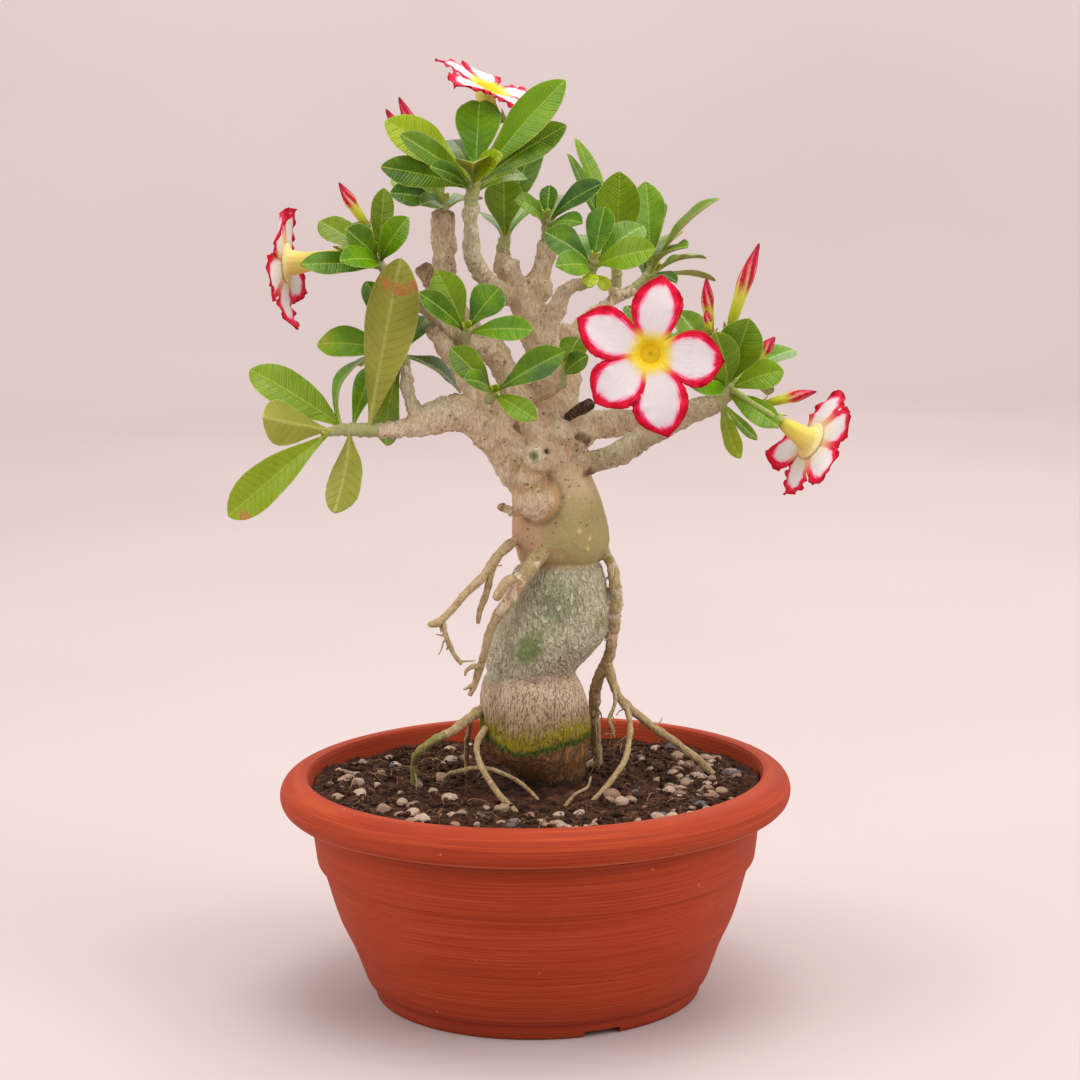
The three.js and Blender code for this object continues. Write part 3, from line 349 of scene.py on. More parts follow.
bowlLook = {
    "sides": 192,
    # runs of [radius, height]; each run is a soft curve, and the runs meet at corners
    "profile": [
        [[0, 3], [74, 3]],
        [[74, 3], [75, 0.9], [75.9, 0.1], [78.8, 0.1], [79.9, 1]],
        [[79.9, 1], [80.5, 4], [80.9, 6.6]],
        [[80.9, 6.6], [83.2, 8.4], [84.9, 11], [90.8, 27], [97.7, 42.4], [104.7, 66.4]],
        [[104.7, 66.4], [106.2, 67.2], [107.3, 69], [107.8, 72.2]],
        [[107.8, 72.2], [109.8, 88], [112.2, 104.4]],
        [[112.2, 104.4], [114.4, 105.8], [118.4, 105.4], [120.9, 101], [119.8, 96.6], [119.4, 95.2]],
        [[119.4, 95.2], [120, 94.65], [121.2, 94.8]],
        [[121.2, 94.8], [123.6, 97.2], [124.8, 100.9], [124.3, 105], [122, 108.4], [118.4, 110.6],
         [114, 111.3]],
        [[114, 111.3], [111.9, 110.9], [111, 109]],
        [[111, 109], [107.9, 89], [105.2, 72.6], [102.2, 66.6], [95, 41.5], [88, 27], [76.6, 5.5]],
        [[76.6, 5.5], [0, 5.5]],
    ],
    "flatStep": 9,
    "curveStep": 1.6,
    "footRadius": 77.5,
    "notches": 3,
    "notchAngle": -67.7,
    "notchWidth": 18,
    "notchHeight": 3,
    "drains": 5,
    "drainRadius": 4.5,
    "drainCircle": 46,
    "sharpAngle": 38,
    "colour": (166, 56, 22),
    "pale": (206, 96, 60),
    "deep": (126, 34, 12),
}


def plasticFinish():
    newFinish("terracottaPlastic", 0.5, 0.22)
    east, north, height = parts(surfacePlace())
    radius = times(calc("SQRT", plus(times(east, east), times(north, north))), 1000)  # in mm
    profileWay = plus(times(height, 1000), times(radius, 0.6))  # how far up and out

    def streaks(around, along):  # lines that run round the bowl
        return grain(joined(times(east, around), times(north, around), times(profileWay, along)), 1.0, 3, 0.6)
    fine, broad = streaks(14, 1.9), streaks(7, 0.3)
    blotches = grain(surfacePlace(), 22, 3)
    # painted highlight: a thin pale line along the lip's lower outer edge, where the flash line catches the
    # light
    lipEdgeHighlight = times(between(height, 0.0946, 0.0958, 0.75, 0), between(radius, 118.5, 119.5))
    splash = times(between(plus(height, times(blotches, 0.02)), 0.1, 0.112, 1, 0),
                   between(radius, 108, 112, 0.55, 0))
    colour = layers(
        ramp(fine, (0.36, bowlLook["deep"]), (0.5, bowlLook["colour"]), (0.64, bowlLook["pale"])),
        (0.66, bowlLook["colour"]),
        (between(broad, 0.45, 0.7, 0, 0.2), (184, 72, 38)),
        (between(blotches, 0.5, 0.75, 0, 0.1), (186, 84, 48)),
        (between(cells(surfacePlace(), 60), 0.03, 0.05, 0.5, 0), (206, 134, 100)),  # chips
        (between(cells(surfacePlace((1, 1, 1.7)), 44), 0.025, 0.045, 0.6, 0), (86, 28, 12)),  # dark specks
        # painted shade: the foot made darker near the floor
        (between(height, 0.0, 0.03, 0.35, 0), (104, 30, 10)),  # the foot
        (lipEdgeHighlight, (214, 128, 88)),
        (times(splash, between(height, 0.088, 0.092)), (92, 44, 26)))  # soil splashed on the inner wall
    return dress(colour, plus(fine, times(broad, 0.4)), 0.0005, 0.8, between(fine, 0.3, 0.7, 0.58, 0.76))


def notchCutter(k):  # a block through the foot ring, a little wider below
    angle = math.radians(bowlLook["notchAngle"] + 360 / bowlLook["notches"] * k)
    out = np.array([math.cos(angle), math.sin(angle), 0])
    across = np.array([-out[1], out[0], 0])
    foot, width, height = bowlLook["footRadius"], bowlLook["notchWidth"], bowlLook["notchHeight"]
    corners = [out * (foot + 10 * a) + across * width / 2 * b * (1 + 0.1 * (c < 0))
               + np.array([0, 0, height * c])
               for a in (-1, 1) for b in (-1, 1) for c in (-1, 1)]
    walls = [(0, 1, 3, 2), (4, 6, 7, 5), (0, 4, 5, 1), (2, 3, 7, 6), (0, 2, 6, 4), (1, 5, 7, 3)]
    return makePiece("notchCutter%d" % k, newHeap(corners, walls))


def drainCutter(k):  # a short tube through the floor
    angle = 2 * math.pi * k / bowlLook["drains"] + 0.2
    x, y = bowlLook["drainCircle"] * math.cos(angle), bowlLook["drainCircle"] * math.sin(angle)
    route = np.array([[x, y, height, bowlLook["drainRadius"]] for height in (-2, 4, 10)])
    return makePiece("drainCutter%d" % k, newHeap(*tubeSkin(route, 20, domes=False)[:2]))


def makeBowl():
    profile = []
    for run in bowlLook["profile"]:
        step = bowlLook["flatStep"] if len(run) == 2 else bowlLook["curveStep"]
        soft = smoothRoute([[radius, height, 0, 0] for radius, height in run], step)
        soft[:, 1] = np.maximum(soft[:, 1], 0)
        profile.extend(soft[:-1, :2])
    profile = profile[1:]
    sides = bowlLook["sides"]
    points = [(radius * math.cos(a), radius * math.sin(a), height)
              for radius, height in profile for a in circle(sides)]
    points += [(0, 0, bowlLook["profile"][0][0][1]), (0, 0, bowlLook["profile"][-1][-1][1])]
    whole = makePiece("bowlWhole", newHeap(points, closedFaces(len(profile), sides)), plasticFinish())
    cutters = [notchCutter(k) for k in range(bowlLook["notches"])]
    cutters += [drainCutter(k) for k in range(bowlLook["drains"])]
    for cutter in cutters:
        modifier = whole.modifiers.new(cutter.name, "BOOLEAN")
        modifier.operation = "DIFFERENCE"
        modifier.solver = "EXACT"
        modifier.object = cutter
    piece = applied(whole, "bowlBody")
    for cutter in cutters:
        bpy.data.objects.remove(cutter)
    piece.data.set_sharp_from_angle(angle=math.radians(bowlLook["sharpAngle"]))
    return standIn(piece, "terracotta_plastic", "bowl")


print("bowl made, faces", makeBowl())


# ---- soil, stones and litter ----

soilLook = {
    "level": 103,
    "bottom": 6,
    "wallGap": 0.4,
    "rings": 92,
    "sides": 380,
    "lumps": 1.5,
    "framePebbles": 18,
    "frameSeed": 7,
    "stones": 190,
    "crumbs": 3400,
    "straws": 200,
    "litterReach": 103,
}
wallHeights = [5.5, 27, 41.5, 66.6, 72.6, 109]  # the bowl's inner wall
wallRadii = [76.6, 88, 95, 102.2, 105.2, 110.8]


def soilTop(x, y):  # gentle mounds with lumps and hollows
    mounds = 1.3 * math.sin(0.062 * x + 0.7) * math.cos(0.055 * y - 0.4)
    ripples = 0.8 * math.sin(0.13 * x - 0.11 * y)
    height = soilLook["level"] - 1 + mounds + ripples + 2.4 * (x / 110) ** 2 - 1.2 * (y / 110) ** 2
    lumps = noise.fractal(Vector((x * 0.09, y * 0.09, 3.7)), 0.8, 2.1, 5) * soilLook["lumps"]
    clods = max(0, noise.noise(Vector((x * 0.31, y * 0.31, 9.1)))) ** 2 * 4.2
    return height + lumps + clods


def soilFinish():
    newFinish("pottingSoil", 0.95, 0.2)
    place = surfacePlace()
    coarse, fine = grain(place, 160, 6, 0.65), grain(place, 900, 4, 0.7)
    flecks = cells(surfacePlace((1, 1, 0.6)), 420)
    colour = layers(
        ramp(coarse, (0.32, (28, 14, 8)), (0.48, (60, 35, 22)), (0.6, (88, 56, 38)), (0.74, (130, 92, 66))),
        (between(fine, 0.35, 0.68, 0, 0.55), (46, 25, 15)),
        (times(between(flecks, 0.1, 0.2, 1, 0), between(coarse, 0.5, 0.6)), (150, 116, 88)))
    return dress(colour, plus(times(coarse, 1.4), times(fine, 0.5)), 0.0005, 0.8)


def pumiceFinish():
    newFinish("pumice", 0.9, 0.25)
    shade, slate, _ = parts(mark("tone"))
    place = surfacePlace()
    grit = grain(place, 700, 4, 0.7)
    colour = layers(
        blend(shade, (150, 120, 100), (204, 178, 158)),
        (between(grit, 0.38, 0.56, 0.4, 0), (140, 108, 88)),
        (between(slate, 0.87, 0.89), (98, 94, 98)),  # one stone in eight is grey
        (between(grain(place, 170, 3), 0.54, 0.68, 0, 0.45), (104, 72, 52)))  # dirt
    return dress(colour, plus(grit, cells(place, 900)), 0.0007, 0.8)


def strawFinish():
    newFinish("strawAndRootlets", 0.8)
    streak = grain(surfacePlace(), 600, 3)
    colour = layers(blend(parts(mark("tone"))[0], (84, 56, 36), (156, 116, 76)),
                    (between(streak, 0.4, 0.65, 0, 0.6), (70, 48, 34)))
    return dress(colour, streak, 0.0004, 0.6)


def makeSoilBed(finish):
    sides, count = soilLook["sides"], soilLook["rings"]
    angles = circle(sides)
    points = []
    for height in [soilLook["bottom"], *wallHeights[1:-1], 97]:
        wall = float(np.interp(height, wallHeights, wallRadii)) - soilLook["wallGap"] - 0.35
        points.extend([(wall * math.cos(a), wall * math.sin(a), height) for a in angles])
    for i in range(count):
        share = 1 - i / count
        for a in angles:
            reach = share * 109.2
            height = soilTop(reach * math.cos(a), reach * math.sin(a))
            wall = float(np.interp(height, wallHeights, wallRadii)) - soilLook["wallGap"] - 0.2
            reach = min(reach, wall)
            points.append((reach * math.cos(a), reach * math.sin(a), height))
    points += [(0, 0, soilLook["bottom"]), (0, 0, soilTop(0, 0))]
    piece = makePiece("soilBed", newHeap(points, closedFaces(len(wallHeights) + count, sides)), finish)
    return standIn(piece, "soil", "soil")


def ball(detail):  # points and triangles of a ball, made once for each detail
    mesh = bpy.data.meshes.new("ball")
    form = bmesh.new()
    bmesh.ops.create_icosphere(form, subdivisions=detail, radius=1)
    form.to_mesh(mesh)
    form.free()
    points = np.array([v.co[:] for v in mesh.vertices])
    faces = [tuple(f.vertices) for f in mesh.polygons]
    bpy.data.meshes.remove(mesh)
    return points, faces


def stoneAt(shape, centre, size, draw, rough):  # a ball made flat, lumpy, tipped and turned
    points, faces = shape
    scale = np.array([1.2 - 0.3 * draw(), 0.85 + 0.2 * draw(), 0.55 + 0.25 * draw()]) * size
    turn, tip = draw() * 2 * math.pi, (draw() - 0.5) * 0.9
    shift = Vector((draw() * 50, draw() * 50, draw() * 50))
    lumps = np.array([1 + rough * noise.noise(Vector(p) * 1.3 + shift)
                      + 0.35 * rough * noise.noise(Vector(p) * 3.1 + shift) for p in points])
    x, y, z = (points * lumps[:, None] * scale).T
    y, z = y * math.cos(tip) - z * math.sin(tip), y * math.sin(tip) + z * math.cos(tip)
    x, y = x * math.cos(turn) - y * math.sin(turn), x * math.sin(turn) + y * math.cos(turn)
    return list(np.column_stack([x, y, z]) + np.array(centre)), faces


def frameDraws(seed):  # the same draws as the frame's pebbles
    while True:
        seed = (seed * 16807) % 2147483647
        yield seed / 2147483647


def spotOnSoil(chance, nearest, width):
    angle, reach = chance.random() * 2 * math.pi, nearest + width * math.sqrt(chance.random())
    return reach * math.cos(angle), reach * math.sin(angle), reach


def makeStones(finish):
    draws = frameDraws(soilLook["frameSeed"])
    draw = lambda: next(draws)
    small, large = ball(2), ball(3)
    heap = newHeap()
    pebbles = 0
    while pebbles < soilLook["framePebbles"]:
        angle = 2 * math.pi * draw()
        reach = 34 + 68 * math.sqrt(draw())
        x, y = reach * math.cos(angle), reach * math.sin(angle)
        size = 2.6 + 1.8 * draw() ** 2
        draw()  # the frame's turn
        flat = 0.6 + 0.25 * draw()
        if not (y < -20 or x > 40 or draw() < 0.25) or reach > 105 - size:
            continue
        pebbles += 1
        spin = random.Random(pebbles)
        centre = (x, y, soilTop(x, y) + size * flat * 0.2)
        addPart(heap, *stoneAt(large, centre, size * 1.02, spin.random, 0.22), tone=(spin.random(), 0, 0))
    chance = random.Random(11)
    stones = 0
    while stones < soilLook["stones"]:  # loose ones, most of them at the front and the right
        x, y, reach = spotOnSoil(chance, 33, 71)
        crowd = noise.noise(Vector((x * 0.024, y * 0.024, 5.5)))
        front = 0.25 + 0.55 * ease(-y, 10, 80) + 0.75 * ease(x, 20, 80) + 0.3 * ease(-x, 50, 90) \
            - 0.3 * ease(abs(x + 5), 40, 5)
        if chance.random() > front * (0.35 + 1.5 * max(0, crowd + 0.12)) or reach > 102:
            continue
        stones += 1
        size = 1.6 + 2.4 * chance.random() ** 1.8
        shape = large if size > 2.1 else small
        stone = stoneAt(shape, (x, y, soilTop(x, y) - size * 0.1), size, chance.random, 0.25)
        addPart(heap, *stone, tone=(chance.random(), chance.random(), 0))
    return standIn(makePiece("pumiceStones", heap, finish), "soil")


def makeCrumbs(finish):
    chance = random.Random(23)
    heap = newHeap()
    shape = ball(1)
    for _ in range(soilLook["crumbs"]):
        x, y, _ = spotOnSoil(chance, 26, 78)
        size = 0.6 + 1.5 * chance.random() ** 3
        addPart(heap, *stoneAt(shape, (x, y, soilTop(x, y) + size * 0.3), size, chance.random, 0.9))
    return standIn(makePiece("soilCrumbs", heap, finish), "soil")


def makeLitter(finish):  # straws, chips and thin loose roots lying on the soil
    chance = random.Random(31)
    heap = newHeap()
    for _ in range(soilLook["straws"]):
        x, y, _ = spotOnSoil(chance, 32, 68)
        heading = chance.random() * 2 * math.pi
        length = 5 + 16 * chance.random() ** 2
        bend = (chance.random() - 0.5) * 1.6
        thick = 0.16 + 0.24 * chance.random()
        stations = []
        for k in range(6):
            t = k / 5
            stations.append([x, y, soilTop(x, y) + 0.5 + 1.6 * chance.random() * math.sin(math.pi * t),
                             thick * (1 - 0.4 * t)])
            heading += bend / 5 + (chance.random() - 0.5) * 0.35
            x += length / 5 * math.cos(heading)
            y += length / 5 * math.sin(heading)
        if max(math.hypot(*station[:2]) for station in stations) <= soilLook["litterReach"]:
            addPart(heap, *tubeSkin(smoothRoute(stations, 1.2), 6)[:2], tone=(chance.random(), 0, 0))
    return standIn(makePiece("strawLitter", heap, finish), "soil")


print("soil made, faces", makeSoilBed(soilFinish()), makeStones(pumiceFinish()), makeCrumbs(soilFinish()),
      makeLitter(strawFinish()))


# ---- trunk, limbs and roots ----

# routes are [x, y, z, radius] stations, upwards for the trunk and limbs and downwards for the roots
trunkRoute = [
    [9, 6, 72, 10], [10, 8, 98, 12], [9.3, 8, 105, 15.4], [5.2, 8, 112, 20.6], [2, 8, 118, 25.2],
    [0, 8, 123.5, 27],
    [0.5, 8, 131, 27.5], [0, 8, 141, 26.5], [-1, 8, 150, 25], [-1.5, 8, 158, 22.5], [2, 8, 165.5, 25],
    [7, 8, 175, 27.3], [9.5, 8, 184, 27], [11, 8, 195, 25.8], [12.6, 8, 206, 22.8],
    [13.5, 8, 212.8, 20], [14.6, 8, 219, 22.2], [14, 8, 226, 23.4],
    [12.5, 8, 243, 21.5], [11, 8, 252, 19.5], [10, 9, 262, 15.5], [9.5, 10, 270, 9],
]

limbRoutes = {
    "leftLow": [[3, 6, 252, 12], [-12.5, 3, 269, 10], [-21, 1, 278.5, 9.4], [-29, -1, 285.5, 9.2],
        [-37.5, -3, 287.5, 8.8], [-45.5, -5, 285, 7.8], [-53.5, -7, 282.5, 6], [-62, -9, 281, 4.2],
        [-72.5, -12, 280.5, 3.9]],
    "leftTwig": [[-53, -7, 282, 5], [-56.5, -8, 293.5, 3.2], [-58.5, -9.5, 302, 2.9], [-59, -10, 311.5, 2.7]],
    "leftLeader": [[9.5, 8, 262, 14], [2.5, 10, 279.5, 12], [-5, 13, 292, 9], [-10.5, 15, 303, 6.5],
        [-18, 16, 315.5, 6.8], [-28.5, 17, 324, 5.8], [-39.5, 20, 339.5, 6], [-50.5, 22, 355, 4.8]],
    "leftReach": [[-18, 13, 314, 5], [-32.5, 6, 320.5, 4.4], [-42, 1, 330.5, 4.4], [-50.5, -4, 340.5, 3.9],
        [-60.5, -8.5, 349.5, 2.9], [-64, -10, 352.5, 2.7]],
    "leftStub": [[-12, 6, 280, 4.4], [-24.5, 1, 293.5, 4.5], [-35.5, -4, 311.5, 4.3], [-46.5, -9, 328, 3.2]],
    "cutStub": [[-39.5, 17, 338, 5], [-40.5, 11, 352, 5], [-40.5, 10, 366, 5.4], [-40.5, 10, 380.5, 5.8]],
    "crownStem": [[-8, 15, 341, 5], [-13.5, 12, 344, 4.6], [-21, 8, 351.5, 4.5], [-26, 2, 360, 4.3],
        [-27, -2, 372, 4], [-26.5, -4, 385, 3.9]],
    "centreLeader": [[10, 10, 262, 13], [9.5, 14, 291, 8.8], [7.5, 15, 310.5, 7.6], [4.5, 16, 322.5, 8.4],
        [-1.5, 17, 337, 7.6], [-7, 18, 348, 6.2], [-11, 20, 355, 5.2],
        [-12, 23, 361, 3.8]],
    "centreFork": [[-2.5, 18, 338, 6], [3.5, 20, 348, 5.6], [8, 22, 358, 5.2], [9.5, 23, 365, 4.8]],
    "shortSpur": [[7.5, 14, 322.5, 5.9], [12.5, 10, 333.5, 4.4], [16.5, 6, 343, 3.6], [20, 4, 346.5, 3.1],
        [26, 2, 347.5, 2.7]],
    "backLeader": [[13, 16, 262, 10], [16, 26, 289.5, 7.6], [17.5, 32, 308.5, 7.1], [19, 36, 323, 6.6]],
    "backReach": [[18, 34, 316, 5], [30, 44, 329, 3.6], [40.5, 49.5, 335.5, 3.1], [43, 48.5, 343, 2.9]],
    "farReach": [[33, 46, 331, 3], [43, 50.5, 337, 2.9], [51.5, 53, 341.5, 2.8]],
    "rightBack": [[13, 12, 265, 9], [26.5, 20, 275.5, 7.6], [35.5, 22, 278, 6.4], [49, 24, 278.5, 6],
        [61, 25.5, 280.5, 5], [66, 25, 284.5, 4.4], [66.5, 23.5, 291, 3.8]],
    "rightFront": [[13, 8, 257, 9], [28.5, 2, 262, 6.2], [40.5, -3, 266, 5.7], [52.5, -7, 273.5, 5.6],
        [64.5, -10, 281, 5.8], [76, -12, 287, 5.8], [88.5, -13, 291.5, 4.8]],
    "frontSpur": [[-30, 9, 320, 4], [-30.5, -1, 321.5, 3.2]],
    "lowSpur": [[-17, 6, 288, 4], [-19.3, -5, 293, 3.2]],
    "thinTwig": [[0, 12, 291, 2.4], [2.5, 3, 292, 1.8], [8.5, 0, 295.5, 1.8], [15, -3, 299.5, 1.8]],
    "driedPod": [[18, 8, 283, 2], [22, 0, 286.5, 2.6], [29, -4, 291, 3]],
    "trunkSpur": [[2, -5, 242, 3], [-6, -10, 240, 2.2], [-15.5, -13, 243, 1.5]],
}

knobs = [
    [4.6, -17, 267.5, 8.1], [0.4, -14, 257, 7.5], [2.3, -12.5, 246.5, 10.2],
    [-21.5, 9, 316.5, 5.2], [-41, -7, 286, 6.8],
    [15.5, 1, 276, 6.4], [22, 4, 268, 5], [-9, 15, 355, 4.6], [5, 20, 345, 6.6],
]

rootRoutes = {
    "leftHanging": [[-1, 4, 227, 3.4], [-9, -5, 224.5, 3.1], [-16.5, -9, 218.5, 3], [-22, -14, 211, 2.8],
        [-31.5, -20, 203, 2.5], [-40, -26, 194, 2.3], [-45.5, -30, 190, 2.4], [-49, -33, 190, 1.8]],
    "leftTail": [[-43, -28, 191, 1.6], [-41.5, -29, 184.5, 1.3], [-40, -28, 179, 1.3], [-38, -27, 175, 1.2],
        [-34.5, -26, 169.5, 1.1]],
    "leftSide": [[-19, -11, 214, 2], [-22, -15, 202, 1.7], [-24, -16, 197, 1.6], [-26.5, -17, 187.5, 1.1]],
    "frontHugging": [[7, -9, 223, 4.2], [1, -14, 216, 4.4], [-6.5, -16.5, 206.5, 4.1],
        [-11.5, -17.5, 198.5, 3.6],
        [-17, -17, 190.5, 3], [-20.5, -16, 183.5, 2.5], [-23.5, -14, 173, 2.3], [-25.5, -12, 165, 2.4],
        [-28, -11, 158, 2], [-31, -11, 151, 1.3]],
    "frontBroken": [[-5, -16, 207, 3.4], [-11.5, -22, 209, 3], [-15.5, -24, 204, 2.6],
        [-17.5, -25, 200.5, 2.2]],
    "rightHanging": [[30, 8, 225, 4], [36, 5, 216, 3.1], [39.5, 3, 207.5, 3.2], [40.5, 3, 194.5, 3.4],
        [39.5, 6, 181, 3.5], [37.5, 10, 167.5, 3.2], [34.5, 16, 157, 3]],
    "rightBehind": [[36, 12, 162, 3], [31.5, 21, 150, 3], [30, 26, 140, 3], [30, 30, 128, 3],
        [31, 34, 114, 2.6], [31.5, 37, 92, 2.2]],
    "rightFar": [[36, 13, 163, 2.6], [39, 15, 150.5, 2.3], [42, 15, 143.5, 2.1], [47, 15, 137.5, 2.1],
        [54, 15.5, 131.5, 2.1], [62, 16, 125, 2.1], [72, 17, 117.5, 2], [82, 18, 109, 2], [92, 18.5, 98, 1.8]],
    "rightNear": [[42, 15, 143, 1.7], [46.5, 8, 135, 1.5], [46.5, 0, 127, 1.4], [44, -10, 118, 1.4],
        [36, -22, 109, 1.4], [27, -30, 101, 1.4], [21, -35, 93, 1.3]],
    "rightRootlet": [[38.5, 15, 152, 1.2], [40, 10, 143, 1.1], [37, 8, 134, 1], [39, 6, 127, 0.9]],
    "leftLow": [[-19, 5, 144, 3.4], [-27, 1, 140, 2.7], [-33.5, -5, 136.5, 2.4], [-41.5, -10, 132, 2.1],
        [-50, -12, 128, 2], [-56, -9, 122.5, 2], [-59, 0, 114, 1.9], [-60.5, 7, 96, 1.6]],
    "leftThin": [[-31, -3, 138, 1.6], [-32.5, 8, 128, 1.3], [-34, 20, 116, 1.3], [-34, 28, 96, 1.2]],
    "frontLow": [[-24, -6, 133, 1.8], [-28, -13, 125, 1.5], [-24, -25, 115, 1.5], [-16, -36, 106, 1.5],
        [-9, -45, 100, 1.4], [-8, -56, 94, 1.3]],
    "looseArc": [[-46, 8, 100, 1], [-44, 2, 107, 1.1], [-36, -7, 112.5, 1.1], [-23, -13, 114.5, 1.1],
        [-10, -18, 110.5, 1], [0, -23, 103, 0.9], [3, -25, 98, 0.8]],
    "looseTwig": [[14, -32, 100, 0.9], [19, -30, 105.5, 0.8], [25, -27, 108, 0.7], [27, -26, 113, 0.5]],
    "raggedEnd": [[-26, -12, 164, 1.5], [-29.5, -14, 165.5, 1.3], [-32.5, -15, 163.5, 0.9],
        [-33, -14, 161, 0.5]],
    "raggedFork": [[-28.5, -11, 157, 1.2], [-31.5, -12, 155, 0.9], [-34, -13, 154, 0.4]],
}

barkLook = {
    "voxel": 1.05,
    "settle": 3,
    "thinLimb": 2.5,  # thinner limbs are twigs with a skin of their own
    "limb": (238, 212, 174),
    "limbPale": (242, 224, 196),
    "limbWarm": (196, 142, 92),
    "limbOlive": (150, 146, 92),
    "trunkTop": (166, 152, 102),
    "trunkTopLeft": (200, 162, 130),
    "trunkMiddle": (214, 206, 176),
    "trunkMiddleGreen": (154, 162, 126),
    "trunkLow": (216, 190, 164),
    "trunkLowWarm": (150, 122, 82),
    "moss": (98, 124, 62),
    "algae": (146, 132, 0),
    "algaeDeep": (50, 86, 0),
    "earthy": (122, 84, 46),
    "paleDot": (222, 208, 132),
    "root": (204, 178, 134),
    "rootDark": (158, 126, 84),
    "rootGreen": (126, 138, 44),
    "driedPod": (74, 44, 34),
    "knob": (212, 172, 124),
    "callus": (186, 138, 112),
    # the colour of the painted shade in hollows and creases
    "hollow": (160, 120, 92),
    "scar": (92, 68, 52),
    "scab": (112, 74, 48),
    "scarEvery": 6.0,
    # creases round the trunk: height, depth, width, lean
    "waists": [(212.8, 1.6, 1.2, 0.8), (157.5, 1.0, 1.4, 2.2), (262, 0.7, 2, 1.5)],
    # finer ones: height, lean
    "wrinkles": [(150, 1), (163, 1.6), (168, -1.2), (205, 1), (219, 0.8), (238, 1.4), (246, -1)],
    "paleDots": [(22.8, 230.5, 0.9), (27.8, 226.8, 0.7), (26.8, 221.6, 0.8), (14, 243, 0.7), (18, 247, 0.6)],
    "eye": (1.6, 268.6),  # x and z of the ringed scar on the top knob
    "hole": (8.3, -23.2, 271.2),
}

scabs = [  # rough brown callus: x, y, z, radius
    [27, 8, 271, 6.5], [29, -2, 257.5, 3.5], [28, -6, 291, 3.4], [-40, 10, 382, 6], [-50.5, 22, 356, 5.5],
    [-15, -13, 243, 2.6], [-49, -33, 190, 3], [22, 4, 268, 4], [-46.5, -9, 329, 3.6],
]
cutTips = ("leftLeader", "leftStub", "centreLeader", "centreFork", "shortSpur", "cutStub", "trunkSpur")
twigs = ("thinTwig", "driedPod", "trunkSpur")
hairyRoots = {  # how many side rootlets each has
    "leftHanging": 6, "leftTail": 6, "rightHanging": 6, "rightFar": 14, "rightNear": 14, "leftLow": 6,
    "frontHugging": 6, "rightBehind": 14, "frontLow": 6, "rightRootlet": 14,
}

# the roots whose thick tops flow into the trunk, a little slimmer than the frame's
slimRoots = {"leftHanging": 0.8, "frontHugging": 0.86, "frontBroken": 0.85, "rightHanging": 0.84}
for name, share in slimRoots.items():
    rootRoutes[name] = [[*station[:3], station[3] * share] for station in rootRoutes[name]]


def barkFinish(name, tight):
    # tight is 1 for the finely cracked bark of trunk and limbs, 0 for the smoother roots
    newFinish(name, 0.78, 0.12)
    cracked, wrinkled, dark = parts(mark("barkWear"))
    place = surfacePlace()
    fine, broad, speckle = grain(place, 620, 5, 0.65), grain(place, 70, 4), grain(place, 240, 4, 0.7)
    hair = grain(surfacePlace((1, 1, 0.2)), 1150, 3, 0.5, 0.7)
    crack = times(between(hair, 0.39, 0.46, 1, 0), cracked)  # upright hairline cracks
    fleck = grain(surfacePlace((1, 1, 0.42)), 600, 2, 0.5, 0.9)
    raised = times(between(fleck, 0.5, 0.64), wrinkled)  # pale flecks of wrinkled bark
    sunk = times(between(fleck, 0.34, 0.47, 1, 0), wrinkled)
    pit = times(between(cells(place, 300), 0.09, 0.17, 1, 0), between(broad, 0.45, 0.6))
    colour = layers(
        blend(between(broad, 0.35, 0.68, 0, 0.25), mark("barkTint", "Color"), (220, 206, 180), "MULTIPLY"),
        (between(fine, 0.52, 0.74, 0, 0.24), (226, 210, 182)),
        (between(speckle, 0.58, 0.7, 0, 0.34 * tight), (164, 112, 70)),
        (times(crack, 0.5), (108, 82, 60)),
        (times(raised, 0.65), (222, 212, 186)),
        (times(sunk, 0.5), (118, 108, 82)),
        (times(pit, 0.6 * tight + 0.25), (112, 86, 66)),
        # scars are dark, and the hole is painted dark as its shade
        (dark, barkLook["scar"]))
    relief = minus(minus(times(raised, 0.8), times(sunk, 0.6)), times(crack, 0.9))
    relief = minus(plus(relief, times(fine, 0.5)), times(pit, 0.5))
    return dress(colour, relief, 0.0015, 1.0, between(broad, 0.3, 0.7, 0.66, 0.86))


def uprightSkin(route, sides):  # level rings, closed at both ends
    points = [(x + radius * math.cos(a), y + radius * math.sin(a), z)
              for x, y, z, radius in route for a in circle(sides)]
    points += [tuple(route[0][:3]), tuple(route[-1][:3] + np.array([0, 0, 2]))]
    return points, closedFaces(len(route), sides)


def coarsePlant():  # trunk, limbs, thick root tops and knobs as overlapping closed skins
    heap = newHeap(*uprightSkin(smoothRoute(trunkRoute, 2), 64))
    for number, route in enumerate(limbRoutes.values()):
        if route[0][3] < barkLook["thinLimb"]:
            continue
        spin = random.Random(number)
        swell = [spin.random() * 6 for _ in range(3)]

        def uneven(angles, row):
            return (1 + 0.05 * np.sin(2 * angles + 0.13 * row + swell[0])
                    + 0.04 * np.sin(0.5 * row + swell[1]) + 0.03 * np.sin(3 * angles - 0.3 * row + swell[2]))
        addPart(heap, *tubeSkin(smoothRoute(route, 2), 28, uneven)[:2])
    for name in slimRoots:
        thick = [station for station in rootRoutes[name] if station[3] >= 2.35]
        addPart(heap, *tubeSkin(smoothRoute(thick, 2), 24)[:2])
    points, faces = ball(4)
    for x, y, z, radius in knobs:
        tall = 1 + 0.12 * (random.Random(int(x * 7 + z)).random() - 0.5)
        addPart(heap, list(points * np.array([1, 1, tall]) * radius + np.array([x, y, z])), faces)
    return heap


def fusedPlant():  # one skin round all of it, with the joints filled a little
    block = makePiece("plantBlock", coarsePlant())
    remesh = block.modifiers.new("oneSkin", "REMESH")
    remesh.mode = "VOXEL"
    remesh.voxel_size = barkLook["voxel"] * mm
    settle = block.modifiers.new("settle", "SMOOTH")
    settle.iterations = barkLook["settle"]
    settle.factor = 0.5
    return applied(block, "plantSkin")


